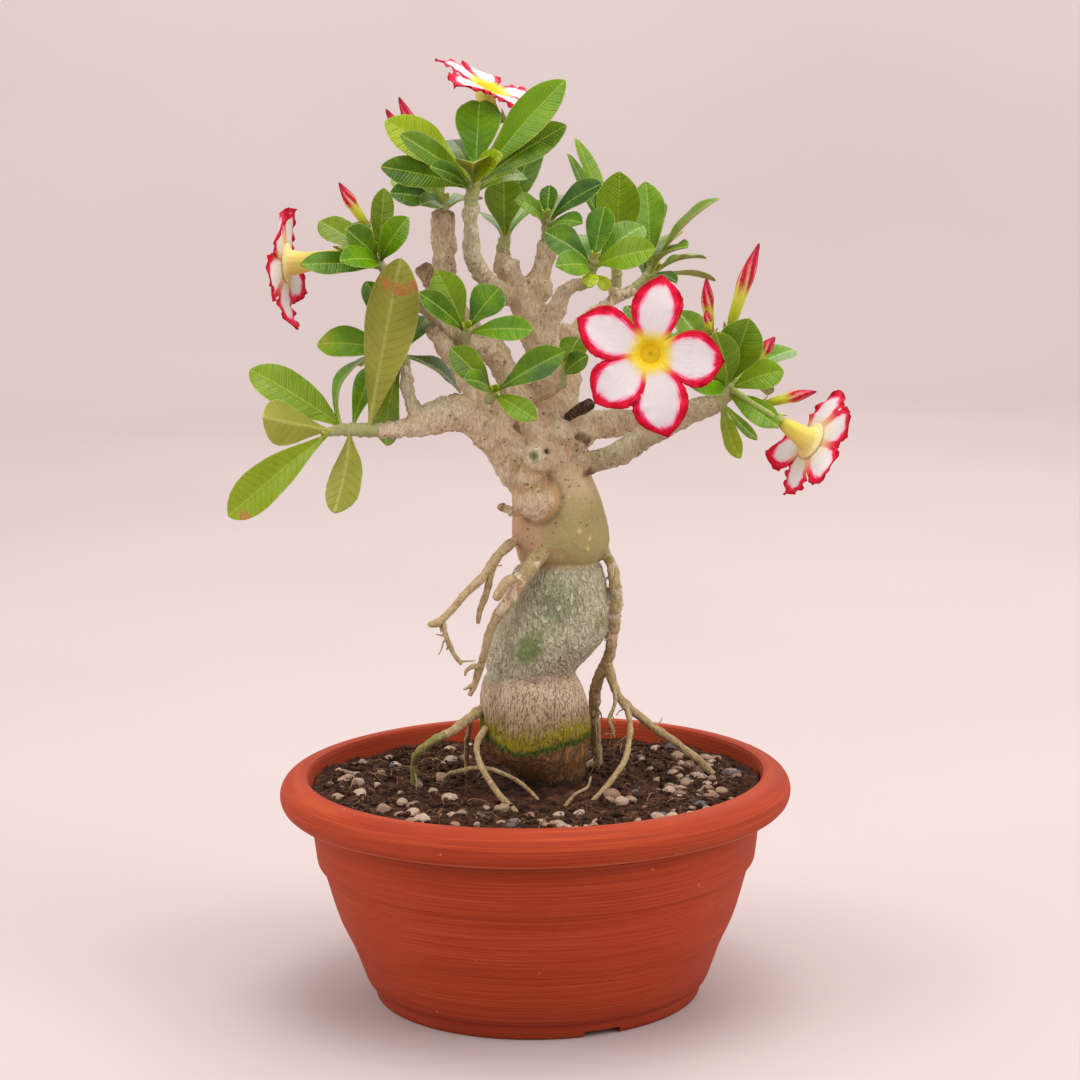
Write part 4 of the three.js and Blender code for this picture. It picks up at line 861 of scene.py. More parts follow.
def scarSpots():  # where leaves have dropped: a point on the limb's skin and a radius
    chance = random.Random(5)
    spots = []
    for route in limbRoutes.values():
        if route[0][3] < barkLook["thinLimb"]:
            continue
        rings = ringsAlong(smoothRoute(route, 2))
        walked = chance.random() * 4
        for k in range(4, len(rings)):
            walked += np.linalg.norm(rings[k][0] - rings[k - 1][0])
            if walked < barkLook["scarEvery"] * (0.6 + 0.8 * chance.random()):
                continue
            walked = 0
            angle = chance.random() * 2 * math.pi
            centre, side, across, radius, _ = rings[k]
            spot = centre + radius * (math.cos(angle) * side + math.sin(angle) * across)
            spots.append((spot, 1.1 + 0.22 * min(radius, 5) * (0.7 + 0.5 * chance.random())))
    for x, y, z, radius in knobs:
        for _ in range(2 if radius < 6 else 1):
            heading = unit(np.array([chance.random() - 0.5, -chance.random(), chance.random() - 0.35]))
            spots.append((np.array([x, y, z]) + radius * heading, 1.5 + 0.5 * chance.random()))
    spots.append((np.array([1.6, -24.4, 268.6]), 2.5))
    return spots


def noiseOver(points, sideways, upwards):
    return np.array([noise.noise(Vector((x * sideways, y * sideways, z * upwards))) for x, y, z in points])


def readSkin(mesh):  # the points with the zones and the noises that relief and colour share
    count = len(mesh.vertices)
    flat, flatNormals = np.empty(count * 3), np.empty(count * 3, np.float32)
    mesh.vertices.foreach_get("co", flat)
    mesh.vertex_normals.foreach_get("vector", flatNormals)
    skin = {"points": flat.reshape(-1, 3) / mm, "normals": flatNormals.reshape(-1, 3), "count": count}
    points = skin["points"]
    x, y, z = points.T
    stations = np.array(trunkRoute, float)
    middleX, middleY, trunkRadius = [np.interp(z, stations[:, 2], stations[:, k]) for k in (0, 1, 3)]
    outward = np.hypot(x - middleX, y - middleY) - trunkRadius
    onTrunk = (1 - ease(outward, 1.5, 4.5)) * (1 - ease(z, 246, 266))
    angle = np.arctan2(y - middleY, x - middleX)
    lowEnd, middleEnd = ease(z + 2.5 * np.sin(angle * 2 + 1), 153, 160), ease(z, 210.5, 213.5)
    skin.update(onTrunk=onTrunk, offTrunk=1 - onTrunk, angle=angle, low=onTrunk * (1 - lowEnd),
                middle=onTrunk * lowEnd * (1 - middleEnd), top=onTrunk * middleEnd,
                soft=noiseOver(points, 0.05, 0.05), fine=noiseOver(points, 0.55, 0.36),
                upright=noiseOver(points, 0.5, 0.1),
                lumps=np.array([noise.fractal(Vector(p * 0.16), 0.7, 2.0, 3) for p in points]))
    return skin


def barkRelief(skin):  # mm outwards
    x, _, z = skin["points"].T
    soft, lumps, angle = skin["soft"], skin["lumps"], skin["angle"]
    onTrunk, offTrunk = skin["onTrunk"], skin["offTrunk"]
    relief = soft * 0.7 + lumps * (0.3 + 0.75 * offTrunk)
    relief += skin["fine"] * (0.08 + 0.14 * skin["middle"] + 0.4 * offTrunk)
    relief -= 0.2 * skin["low"] * ease(skin["upright"], 0.15, 0.5)
    for height, depth, width, lean in barkLook["waists"]:
        line = z - height - lean * np.sin(angle * 2 + height)
        relief -= onTrunk * depth * np.exp(-(line / width) ** 2)
    for height, lean in barkLook["wrinkles"]:
        line = z - height - lean * np.sin(angle * 3 + height)
        relief -= onTrunk * 0.22 * np.exp(-(line / 0.9) ** 2) * ease(np.sin(angle * 1.5 + height), -0.2, 0.5)
    rings = np.sin((z * 0.9 + x * 0.9) * 1.15 + lumps * 5) * offTrunk  # ring wrinkles round the limbs
    return relief + 0.2 * rings * ease(soft, -0.1, 0.25)


def hollowness(mesh, skin):  # how far each point moves outwards when its neighbours smooth it
    pairs = np.empty(len(mesh.edges) * 2, np.int32)
    mesh.edges.foreach_get("vertices", pairs)
    one, two = pairs.reshape(-1, 2).T
    count = skin["count"]
    links = np.bincount(one, minlength=count) + np.bincount(two, minlength=count)
    eased = skin["points"].copy()
    for _ in range(45):
        for k in range(3):
            total = np.bincount(one, eased[two, k], count) + np.bincount(two, eased[one, k], count)
            eased[:, k] = 0.4 * eased[:, k] + 0.6 * total / links
    return ((eased - skin["points"]) * skin["normals"]).sum(1)


def paint(skin, name, share):  # a named colour of the bark over what is there
    share = share[:, None]
    skin["colour"] = skin["colour"] * (1 - share) + tints(*barkLook[name]) * share


def paintBark(skin, hollow):
    points, relief = skin["points"], skin["relief"]
    x, y, z = points.T
    soft, lumps, fine, angle = [skin[key] for key in ("soft", "lumps", "fine", "angle")]
    low, middle, top, offTrunk = [skin[key] for key in ("low", "middle", "top", "offTrunk")]
    rightLimb = ease(x, 22, 34) * (1 - ease(z, 292, 300)) * ease(-y, -6, 4)
    leftTwig = ease(-x, 50, 54) * ease(z, 286, 292) * (1 - ease(z, 316, 322)) * (1 - ease(y, 0, 6))
    crownStem = ease(-x, 18, 24) * ease(z, 348, 356) * (1 - ease(y, 6, 9)) * ease(x, -34, -31)
    green = np.maximum(np.exp(-((x - 11) / 13) ** 2 - ((z - 196) / 14) ** 2) * (1 - ease(y, 0, 12)),
                       0.7 * np.exp(-((y - 30) / 12) ** 2 - ((z - 182) / 14) ** 2))
    mossReach = np.hypot((x + 2 + 2 * lumps) / 8.8, (z - 176 - 0.25 * x + 4 * soft) / 7.6)
    skin["moss"] = (1 - ease(mossReach + 0.35 * fine, 0.45, 1.25)) * (1 - ease(y, -6, 2))
    blob = 1 - ease(np.hypot((x - 32.6) / 3.4, (z - 185) / 4.4) + 0.4 * fine, 0.6, 1.1)
    # the green line above the soil
    band = z + 1.5 * np.sin(angle * 3 + 0.6) + 5 * (soft * 0.5 + lumps * 0.35)
    streaked = ease(skin["upright"] + 0.4 * lumps, 0.05, 0.4) * (1 - ease(band, 122, 126))
    skin["colour"] = np.tile(tints(*barkLook["limb"]), (skin["count"], 1))
    for name, share in (
            ("limbPale", ease(lumps, -0.15, 0.5) * 0.7),
            ("limbWarm", (1 - ease(soft + 0.6 * fine, -0.5, -0.05)) * 0.3),
            ("limbOlive", 0.75 * rightLimb * offTrunk),
            ("limbOlive", 0.6 * leftTwig),
            ("limbOlive", 0.7 * crownStem),
            ("trunkTop", top * 0.95),
            ("trunkTopLeft", top * (1 - ease(x + soft * 8 + lumps * 5, -6, 14)) * 0.9),
            ("limb", top * ease(z + 6 * soft, 236, 258) * 0.6),
            ("trunkMiddle", middle),
            ("trunkMiddleGreen", middle * np.clip(green * 1.15, 0, 1)),
            ("trunkLow", low),
            ("trunkLowWarm", low * (1 - ease(z + 6 * soft + 4 * lumps, 132, 152)) * 0.85),
            ("moss", middle * skin["moss"] * 0.92),
            ("limbOlive", middle * blob * 0.7),
            ("algae", low * (1 - ease(band, 130.5, 139)) * 0.95),
            ("algaeDeep", low * (1 - ease(band, 125.5, 128))),
            ("earthy", low * (1 - ease(band, 123, 125.5))),
            ("limbWarm", low * streaked * 0.4),
            ("scar", (1 - ease(z, 104, 109)) * 0.9),
            ("scar", low * (1 - ease(z, 103, 113)) * 0.6)):
        paint(skin, name, share)
    for dotX, dotZ, size in barkLook["paleDots"]:
        dot = (1 - ease(np.hypot(x - dotX, z - dotZ), size * 0.7, size * 1.5)) * (y < 12)
        relief += dot * 0.35
        paint(skin, "paleDot", dot)
    for *centre, size in knobs[:3]:
        away = np.linalg.norm(points - np.array(centre), axis=1) - size
        paint(skin, "knob", 0.7 * (1 - ease(away, 0.6, 1.8)))
        # painted shadow: a darker ring just outside the lower knobs, along their outline
        rim = np.exp(-((away - 2.4) / 1.1) ** 2) * (1 - ease(z, 258, 264))
        skin["colour"] = skin["colour"] * (1 - 0.3 * rim[:, None])
    # painted shade: hollows and creases darkened towards the hollow colour
    shaded = (ease(hollow, 0.15, 1.6) * 0.38)[:, None]
    skin["colour"] = skin["colour"] * (1 - shaded * (1 - tints(*barkLook["hollow"])))
    # painted highlight: bulging parts of the limbs made paler
    paint(skin, "limbPale", (1 - ease(hollow, -1.2, -0.1)) * offTrunk * 0.5)


def addScars(skin):  # leaf scars, scabs, the ringed eye, a hole and the callus of pruned tips
    points, relief, colour = skin["points"], skin["relief"], skin["colour"]
    x, y, z = points.T
    lumps, fine = skin["lumps"], skin["fine"]
    dark = np.zeros(skin["count"])
    near = KDTree(skin["count"])
    for i, p in enumerate(points):
        near.insert(p, i)
    near.balance()
    scab, pale = tints(*barkLook["scab"]), tints(*barkLook["limbPale"])
    spots = [(spot, radius, False) for spot, radius in scarSpots()]
    spots += [(np.array(centre), radius, True) for *centre, radius in scabs]
    for spot, radius, rough in spots:
        for _, i, distance in near.find_range(spot, radius * 1.7 + 1):
            share = distance / radius
            if rough:
                crust = 1 - ease(share + 0.5 * lumps[i], 0.7, 1.15)
                relief[i] += crust * (0.5 * fine[i] + 0.25)
                colour[i] = colour[i] * (1 - 0.8 * crust) + scab * 0.8 * crust
            elif skin["onTrunk"][i] < 0.4:
                lip, dip = math.exp(-((share - 0.85) / 0.3) ** 2), math.exp(-(share / 0.45) ** 2)
                relief[i] += 0.75 * lip - 0.5 * dip
                dark[i] = max(dark[i], 0.85 * math.exp(-(share / 0.33) ** 2))
                rim = math.exp(-((share - 0.85) / 0.28) ** 2)
                colour[i] = colour[i] * (1 - 0.45 * rim) + pale * 0.45 * rim
    eyeX, eyeZ = barkLook["eye"]
    ring = np.hypot(x - eyeX, z - eyeZ) + 20 * (y > -16)
    paint(skin, "limbPale", 0.85 * np.exp(-((ring - 2.9) / 0.8) ** 2))
    paint(skin, "moss", 0.8 * (1 - ease(ring + 0.8 * fine, 1.7, 2.6)))
    relief += 0.5 * np.exp(-((ring - 2.8) / 0.8) ** 2)
    # a hole: sunk a little and painted dark, the painted shade inside it
    holeX, holeY, holeZ = barkLook["hole"]
    hole = np.exp(-(np.hypot(np.hypot(x - holeX, z - holeZ), y - holeY) / 1.7) ** 2)
    relief -= 2.2 * hole
    for name in cutTips:
        *tip, radius = limbRoutes[name][-1]
        close = np.exp(-(np.linalg.norm(points - np.array(tip), axis=1) / (radius * 1.6)) ** 2)
        paint(skin, "callus", np.clip(close * 0.8 * ease(fine, -0.4, 0.3), 0, 1))
    # the dark of the scars, with the hole's painted shade
    return np.maximum(dark, np.clip(hole * 1.4, 0, 0.95))


def trunkAndLimbs():  # the fused skin with its relief, its colours and how cracked, wrinkled and dark it is
    fused = fusedPlant()
    skin = readSkin(fused.data)
    skin["relief"] = barkRelief(skin)
    paintBark(skin, hollowness(fused.data, skin))
    dark = addScars(skin)
    points = skin["points"] + skin["normals"] * skin["relief"][:, None]
    points[:, 2] = np.maximum(points[:, 2], trunkRoute[0][2])
    z, low, middle, offTrunk = points[:, 2], skin["low"], skin["middle"], skin["offTrunk"]
    cracked = np.clip(low * (1 - ease(z, 158, 166)) + 0.25 * offTrunk, 0, 1)
    wrinkled = np.clip(middle * (1 - 0.75 * skin["moss"]) + 0.3 * offTrunk + 0.12 * low, 0, 1)
    wearAndShade = np.column_stack([cracked, wrinkled, dark])
    faces = [tuple(f.vertices) for f in fused.data.polygons]
    bpy.data.objects.remove(fused)
    return newHeap(list(points), faces, barkTint=list(skin["colour"]), barkWear=list(wearAndShade))


def addRoots(heap):  # thin roots and twigs, each a fine uneven tube
    noise.seed_set(7)  # noise vectors start from the clock unless a seed is set
    routes = {**rootRoutes, **{name: limbRoutes[name] for name in twigs}}
    for number, (name, route) in enumerate(routes.items()):
        soft = smoothRoute(route, 0.9)
        for row in soft:
            spot = Vector((row[0] * 0.12, row[1] * 0.12, row[2] * 0.12))
            row[:3] += np.array(noise.noise_vector(spot)) * 0.5
            row[3] *= 1 + 0.2 * noise.noise(spot * 2.3) + 0.03 * math.sin(row[2] * 1.3 + row[0])
        shift = random.Random(100 + number).random() * 40

        def knotty(angles, row):
            spots = [Vector((math.cos(a) * 1.2, math.sin(a) * 1.2, row * 0.12 + shift)) for a in angles]
            return 1 + np.array([0.12 * noise.noise(spot) for spot in spots])
        points, faces, _ = tubeSkin(soft, 14, knotty)
        x, _, z = np.array(points).T
        mottled = np.array([noise.fractal(Vector(p) * 0.3, 0.7, 2, 3) for p in points])
        shade = np.clip((1 - ease(z, 100, 130)) * 0.5 + 0.5 * ease(mottled, 0, 0.6), 0, 1)[:, None]
        colour = tints(*barkLook["root"]) * (1 - shade) + tints(*barkLook["rootDark"]) * shade
        if name == "driedPod":
            colour = np.tile(tints(*barkLook["driedPod"]), (len(points), 1))
        green = {"leftLow": 1 - ease(np.abs(x + 54), 6, 16), "rightHanging": 0.45 * ease(z, 170, 210),
                 "frontHugging": 0.25 * ease(z, 200, 215)}.get(name, 0 * z)
        green = np.clip(green, 0, 1)[:, None] * 0.7
        colour = colour * (1 - green) + tints(*barkLook["rootGreen"]) * green
        addPart(heap, points, faces, 1, barkTint=list(colour), barkWear=(0.1, 0.3, 0))


def addRootlets(heap):
    chance = random.Random(77)
    for name, count in hairyRoots.items():
        soft = smoothRoute(rootRoutes[name], 2)
        for _ in range(count):
            row = soft[int(len(soft) * (0.3 + 0.68 * chance.random()))]
            if row[2] < 104:
                continue
            heading = unit(np.array([chance.random() - 0.5, chance.random() - 0.6, -0.2 - chance.random()]))
            length = 2 + 9 * chance.random() ** 2
            thick = 0.28 + 0.25 * chance.random()
            stations = [[*(row[:3] + heading * row[3] * 0.5), thick * 1.4]]
            for _ in range(4):
                heading = unit(heading + (np.array([chance.random() for _ in range(3)]) - 0.5) * 0.8)
                *spot, radius = stations[-1]
                stations.append([*(np.array(spot) + heading * length / 4), radius * 0.82])
            points, faces, _ = tubeSkin(smoothRoute(stations, 1), 6)
            addPart(heap, points, faces, 1, barkWear=(0, 0.3, 0),
                    barkTint=tints(*barkLook["root"]) * (0.6 + 0.4 * chance.random()))


def makePlant():
    heap = trunkAndLimbs()
    addRoots(heap)
    addRootlets(heap)
    piece = makePiece("plantBody", heap, barkFinish("adeniumBark", 1), barkFinish("rootBark", 0))
    return standIn(piece, "bark", "plant")


print("trunk, limbs and roots made, faces", makePlant())


# ---- leafy shoots ----

# a leaf is its tip's x, y, z, its width, its sag, how far its face turns from the usual tilt (or the way
# it looks), and how far down the stem it leaves (or its own foot)
shoots = {
    "crown": {
        "on": "crownStem",
        "stem": [[-25.8, -5, 392, 3.4], [-23.5, -6, 400, 3]],
        "leaves": [[-22, 14, 436, 22, 3, 0, 0], [18.7, -22, 443.8, 19, 4, 0, 1], [19, -18, 423, 17, 4, 0, 3],
            [-66, -14, 426, 20, 4, 0, 2], [-58, -34, 420, 13, 3, 0, 4], [-68, -22, 405, 16, 4, 0, 6],
            [-24, -48, 407, 16, 4, 0, 3], [-11, -40, 410, 13, 4, 0, 5], [-44, -40, 405, 11, 3, 0, 7],
            [-1, 14, 399, 15, 4, 0, 7], [-37, 36, 416, 18, 4, 0, 3]],
    },
    "cutTop": {
        "on": "cutStub",
        "stem": [[-40, 11, 386, 3]],
        "leaves": [[-65, -2, 392, 14, 3, 0, 0], [-65, 22, 398, 15, 3, 0, 0], [-50, 40, 399, 14, 3, 0, 0],
            [-25, 40, 387, 14, 3, 0, 1], [-50, -14, 387, 11, 3, 0, 1]],
    },
    "behindKnob": {
        "on": "centreLeader",
        "stem": [[-12, 26, 364.5, 3.2], [-11, 30.5, 369, 2.8]],
        "leaves": [[6, 44, 417, 20, 4, 0, 0], [-11, 26, 399, 19, 3, 0, 0], [-19, 72, 378, 18, 5, 0, 0],
            [6, 80, 383, 17, 5, 0, 0]],
    },
    "forkTop": {
        "on": "centreFork",
        "stem": [[9.5, 22, 371, 3], [9.5, 20, 378, 2.6]],
        "leaves": [[36, 4, 395, 14, 3, 0, 0], [11, 26, 394, 9, 2, 0, 0], [-6, 4, 388, 13, 3, 0, 2],
            [26, -6, 377, 11, 3, 0, 3], [21, 52, 388, 12, 3, 0, 2], [-2, 40, 385, 11, 3, 0, 3]],
    },
    "spurTop": {
        "on": "shortSpur",
        "stem": [[30, 0.5, 352, 2.4], [31.5, -1, 359, 2.3]],
        "leaves": [[37, 6, 384, 14, 2, 0, 0], [56, 12, 374, 17, 3, 0, 1], [60, -20, 365, 17, 4, 0, 2],
            [8, -8, 373, 17, 3, 0, 1], [13, -24, 358, 14, 4, 0, 4], [29, -14, 347, 8, 2, 0, 5.5],
            [38, -4, 345, 7, 2, 0, 6], [30, 40, 369, 14, 4, 0, 2]],
    },
    "backTall": {
        "on": "backReach",
        "stem": [[43.5, 46.5, 349, 2.7], [43.5, 44, 355, 2.5]],
        "leaves": [[45, 36, 400, 22, 3, 0, 0], [24, 54, 416, 12, 3, 0, 0], [20, 30, 409, 10, 3, 0, 3],
            [28, 66, 402, 13, 3, 0, 1], [37, 96, 366, 16, 5, 0, 4], [57, 86, 383, 15, 4, 0, 2]],
    },
    "backRight": {
        "on": "farReach",
        "stem": [[57, 56, 345.5, 2.5], [61.5, 58, 351, 2.3]],
        "leaves": [[59, 68, 394, 17, 3, 0, 0], [68, 84, 383, 14, 3, 0, 0], [94, 44, 386, 18, 4, 0, 0],
            [78, 88, 368, 12, 3, 0, 2], [78, 34, 363, 17, 4, 0, 1], [89, 62, 356, 17, 4, 0, 3],
            [94, 70, 344, 13, 4, 0, 5], [73, 42, 345, 10, 3, 0, 5], [70, 106, 365, 17, 5, 0, 2],
            [49, 100, 354, 15, 5, 0, 4]],
    },
    "behindBloom": {
        "on": "rightBack",
        "stem": [[65.5, 22, 297, 3.4], [62.5, 16, 309.5, 2.8], [60.5, 10, 318, 2.4]],
        "leaves": [[71, 24, 342, 11, 3, 0, 0], [47, 26, 335, 11, 3, 0, 1], [77, 34, 317, 14, 4, 0, 3],
            [55, 50, 314, 14, 5, 0, 5], [69, 56, 301, 14, 5, 0, 8]],
    },
    "right": {
        "on": "rightFront",
        "stem": [[92.5, -15, 295.5, 4], [94.5, -16, 301, 3.2]],
        "leaves": [[103, -32, 333, 22, 3, 0, 0], [120, -22, 307, 15, 3, 0, 1], [73, -46, 304, 18, 4, 0, 1],
            [116, -38, 282.5, 13, 3, 0, 4], [129, 20, 313, 15, 4, 0, 1], [71, 7, 334, 16, 4, 0, 0],
            [70, -6, 325, 13, 3, 0, 2], [86, -44, 328, 16, 5, 0, 1], [98, 44, 314, 15, 5, 0, 2],
            [117, 34, 290, 14, 5, 0, 3],
            [101.5, 4, 262.5, 10, -3, 0, [91.3, -12, 291.8]], [109, -4, 272.5, 6, -2, 0, [91.6, -12.5, 292.2]]],
    },
    "branchEnd": {
        "on": "leftLow",
        "stem": [[-81, -14.5, 281, 3.4], [-89.5, -17, 281.5, 3], [-95, -18.5, 280.5, 2.2]],
        "leaves": [[-59, -27, 363, 25, -1, [0.25, 1, 0], [-76.5, -14, 282]],
            [-76, -6, 315, 16, 9, [-1, -0.45, 0.4], [-90, -17, 282]],
            [-134, 0, 309, 18, 3, 10, [-88, -16, 282]],
            [-124, -44, 291, 22, 3, [-0.3, 1, -0.35], [-93, -18.5, 281]],
            [-147.5, 8, 237, 20, 4, 25, [-94.5, -18, 280.5]],
            [-93, -28, 243, 18, 3, [0.5, 1, 0.1], [-85.5, -17, 280.5]],
            [-76, 12, 309, 12, 2, 0, [-84.5, -15, 282]]],
    },
    "twig": {
        "on": "leftTwig",
        "stem": [[-60, -9, 315.5, 2.4], [-61, -8, 319, 2]],
        "leaves": [[-78, 8, 350, 13, 3, 0, 0], [-101, -6, 321, 17, 4, 0, 1], [-67, 30, 331, 13, 3, 0, 1],
            [-48, 13, 332, 13, 3, 0, 1], [-34, 18, 295, 19, 3, 0, 2], [-70, 12, 270, 16, 4, 0, 3],
            [-83, 34, 307, 14, 4, 0, 2]],
    },
    "left": {
        "on": "leftReach",
        "stem": [[-68, -12, 357, 2.5], [-71.5, -14, 361.5, 2.4]],
        "leaves": [[-67, -14, 395, 11, 2, 0, 0], [-55, -32, 382, 14, 3, 0, 1], [-84, -36, 377, 15, 3, 0, 0],
            [-99, 0, 379, 15, 3, 0, 0], [-86, -48, 363, 14, 4, 0, 3], [-105, -38, 361, 12, 3, 0, 3],
            [-88, 24, 376, 14, 4, 0, 1], [-62, 20, 374, 13, 3, 0, 2]],
    },
    "frontHigh": {
        "on": "frontSpur",
        "stem": [[-30.2, -6, 324, 2.6], [-29.5, -11, 327.5, 2.4]],
        "leaves": [[-43, -16, 356, 17, 4, 0, 0], [-13.5, -5, 347, 18, 3, 0, 0], [-51, -34, 347, 12, 3, 0, 1],
            [2, -24, 328, 13, 3, 0, 1]],
    },
    "frontLow": {
        "on": "lowSpur",
        "stem": [[-18.3, -11, 295.5, 2.6], [-17, -17, 298.5, 2.4]],
        "leaves": [[-37, -24, 320, 15, 3, 0, 0], [-30, -44, 307, 12, 3, 0, 1], [17, -26, 318, 16, 3, 0, 0],
            [3, -34, 287, 12, 3, 0, 2]],
    },
    "thin": {
        "on": "thinTwig",
        "stem": [[16, -4, 302.5, 1.9], [16.5, -4, 307, 1.9]],
        "leaves": [[24, 2, 322, 14, 3, 0, 0], [28, -14, 315, 11, 3, 0, 1]],
    },
}

# a lobe is its heading in degrees, its reach from the throat's middle, its width and how far its tip rises
blooms = {
    "front": {
        "on": "behindBloom",
        "stalk": [[60.5, 10, 317], [60.5, 0, 315]],
        "base": [58, -16, 316.5],
        "throat": [56, -48, 318.5],
        "facing": [-0.06, -1, 0.06],
        "lobes": [[-4, 34.5, 24, 0], [84, 36.5, 21.5, 0], [156.5, 37.5, 22, 0], [224, 34.5, 23, 0],
            [284, 39.5, 24, 0]],
    },
    "right": {
        "on": "right",
        "stalk": [[95, -17, 299], [104, -27, 293]],
        "base": [115.5, -34, 286],
        "throat": [132, -30, 274.5],
        "facing": [0.79, 0.37, -0.49],
        "lobes": [[76, 31, 20, 9], [150, 29, 19, 0], [212, 31, 20, 0], [284, 28, 20, 4], [346, 33, 20, 0]],
    },
    "left": {
        "on": "left",
        "stalk": [[-71, -14, 361], [-78, -15.5, 364.5]],
        "base": [-87, -16, 365.5],
        "throat": [-113, -22, 361],
        "facing": [-0.98, 0.19, 0],
        "lobes": [[52, 31, 20, -6], [132, 31, 20, 2], [212, 33, 20, 0], [278, 31, 19, -4], [346, 31, 20, 0]],
    },
    "top": {
        "on": "crown",
        "stalk": [[-23, -5, 399], [-16, 14, 411]],
        "base": [-12, 24, 426],
        "throat": [-17.5, 24, 441],
        "facing": [0.42, -0.22, 0.88],
        "lobes": [[48, 32, 20, -2], [114, 29, 20, 2], [182, 33, 20, 2], [252, 33, 20, 3], [326, 34, 20, 0]],
    },
}

buds = {
    "tall": {
        "on": "right",
        "stalk": [[94.5, -16, 300], [93, -17.5, 312]],
        "foot": [94.5, -18, 326], "tip": [108.5, -20, 367], "radius": 3.6,
    },
    "small": {
        "on": "right",
        "stalk": [[94, -15.5, 299], [88, -13.5, 311]],
        "foot": [86, -14, 324.5], "tip": [84, -16, 351], "radius": 3,
    },
    "tiny": {
        "on": "right",
        "stalk": [[94, -17, 299], [87, -21, 312]],
        "foot": [85, -22, 325.5], "tip": [83.5, -23, 336.5], "radius": 2.2,
    },
    "hidden": {
        "on": "right",
        "stalk": [[95, -15, 299], [101, -10, 303]],
        "foot": [106, -8, 309], "tip": [117, -8, 322], "radius": 3.2,
    },
    "overBloom": {
        "on": "right",
        "stalk": [[95.5, -17, 298], [103, -23, 292.5]],
        "foot": [110.5, -26, 292], "tip": [134.5, -30, 298], "radius": 2.8,
    },
    "left": {
        "on": "left",
        "stalk": [[-71.5, -14, 361], [-73, -18, 369]],
        "foot": [-75, -20, 377.5], "tip": [-87.5, -22, 398], "radius": 2.8,
    },
    "leftTiny": {
        "on": "left",
        "stalk": [[-71, -13.5, 361], [-68.5, -5, 366]],
        "foot": [-67, -2, 372.5], "tip": [-65.5, -2, 384], "radius": 2,
    },
    "topFront": {
        "on": "cutTop",
        "stalk": [[-40.5, 10, 386], [-43, 5, 392]],
        "foot": [-47, 2, 400], "tip": [-66, 0, 431.5], "radius": 3.6,
    },
    "topBack": {
        "on": "cutTop",
        "stalk": [[-40, 11.5, 386], [-42, 13.5, 395]],
        "foot": [-45.5, 14, 404.5], "tip": [-60.5, 14, 437], "radius": 3.4,
    },
}

leafLook = {
    "rows": 30,
    "columns": 12,
    "thickness": 0.75,
    "foldDegrees": 16,
    "frontTilt": 52,
    "tiltPerDepth": 0.85,
    "mostTilt": 64,
    "petiole": 1.25,
    "narrow": 16,  # leaves less wide than this have a plainer outline
    "midrib": 1.15,
    "veinSpacing": 4.3,
    # half widths at each share of the length, for three kinds of leaf
    "shares": [0, 0.06, 0.16, 0.3, 0.45, 0.58, 0.68, 0.78, 0.87, 0.94, 0.98, 1],
    "spoonWidths": [0.02, 0.07, 0.2, 0.44, 0.76, 0.95, 1, 0.95, 0.76, 0.46, 0.22, 0],
    "narrowWidths": [0.03, 0.1, 0.26, 0.52, 0.78, 0.94, 1, 0.97, 0.8, 0.5, 0.24, 0],
    "ovalWidths": [0.04, 0.14, 0.38, 0.74, 0.97, 1.04, 1.04, 0.98, 0.8, 0.52, 0.26, 0],
    "topDark": (26, 76, 10),
    "top": (90, 142, 2),
    "topLight": (136, 176, 4),
    "topYoung": (166, 184, 12),
    "under": (150, 148, 58),
    "underShade": (122, 130, 36),
    "vein": (158, 182, 92),
    "margin": (186, 198, 104),
    "burn": (182, 122, 62),
}

shootLook = {
    "stalkRadius": 1.6,
    "leafStart": 0.5,
    "calyxPerRadius": 0.29,
    "sharpAngle": 60,
    "youngLeaves": 3,
}

# what differs from leaf to leaf, by shoot and place in its list: youth turns it yellow, burn browns it,
# shade sets how light it is, notch splits its tip, oval makes it broad near its base
leafMoods = {
    ("crown", 0): {"notch": 1, "shade": 0.7}, ("crown", 3): {"youth": 0.75}, ("crown", 1): {"youth": 0.15},
    ("crown", 2): {"shade": 0.15}, ("crown", 7): {"youth": 0.7}, ("crown", 6): {"youth": 0.4},
    ("branchEnd", 0): {"youth": 0.4, "burn": 0.95, "oval": 0.5}, ("branchEnd", 2): {"youth": 0.35, "oval": 1},
    ("branchEnd", 3): {"youth": 0.3}, ("branchEnd", 4): {"youth": 0.6, "burn": 0.35, "oval": 0.6},
    ("branchEnd", 5): {"youth": 0.3, "oval": 0.8},
    ("spurTop", 5): {"youth": 1}, ("spurTop", 6): {"youth": 1}, ("left", 0): {"youth": 0.35},
    ("left", 3): {"youth": 0.4}, ("right", 8): {"youth": 0.5}, ("backRight", 2): {"youth": 0.25},
    ("backTall", 0): {"youth": 0.35}, ("twig", 1): {"youth": 0.1}, ("right", 10): {"youth": 0.6},
}

# the calyx cup, ring by ring from its foot over the rim and down inside: radius and height with what
# each gains at the five points, and how far up the colour has turned
calyxRings = [
    (1.5, 0, -1.1, 0, 0), (2.4, 0, -0.7, 0, 0.1), (2.75, 0, 0.2, 0, 0.3),
    (3.0, 0.7425, 0.9, 1.0, 0.6), (3.0, 1.35, 1.3, 2.1, 1), (2.55, 1.35, 1.3, 2.1, 1),
    (2.55, 0.7425, 0.9, 1.0, 0.6), (1.7, 0, 0.6, 0, 0.3), (1.5, 0, 0, 0, 0.2),
]


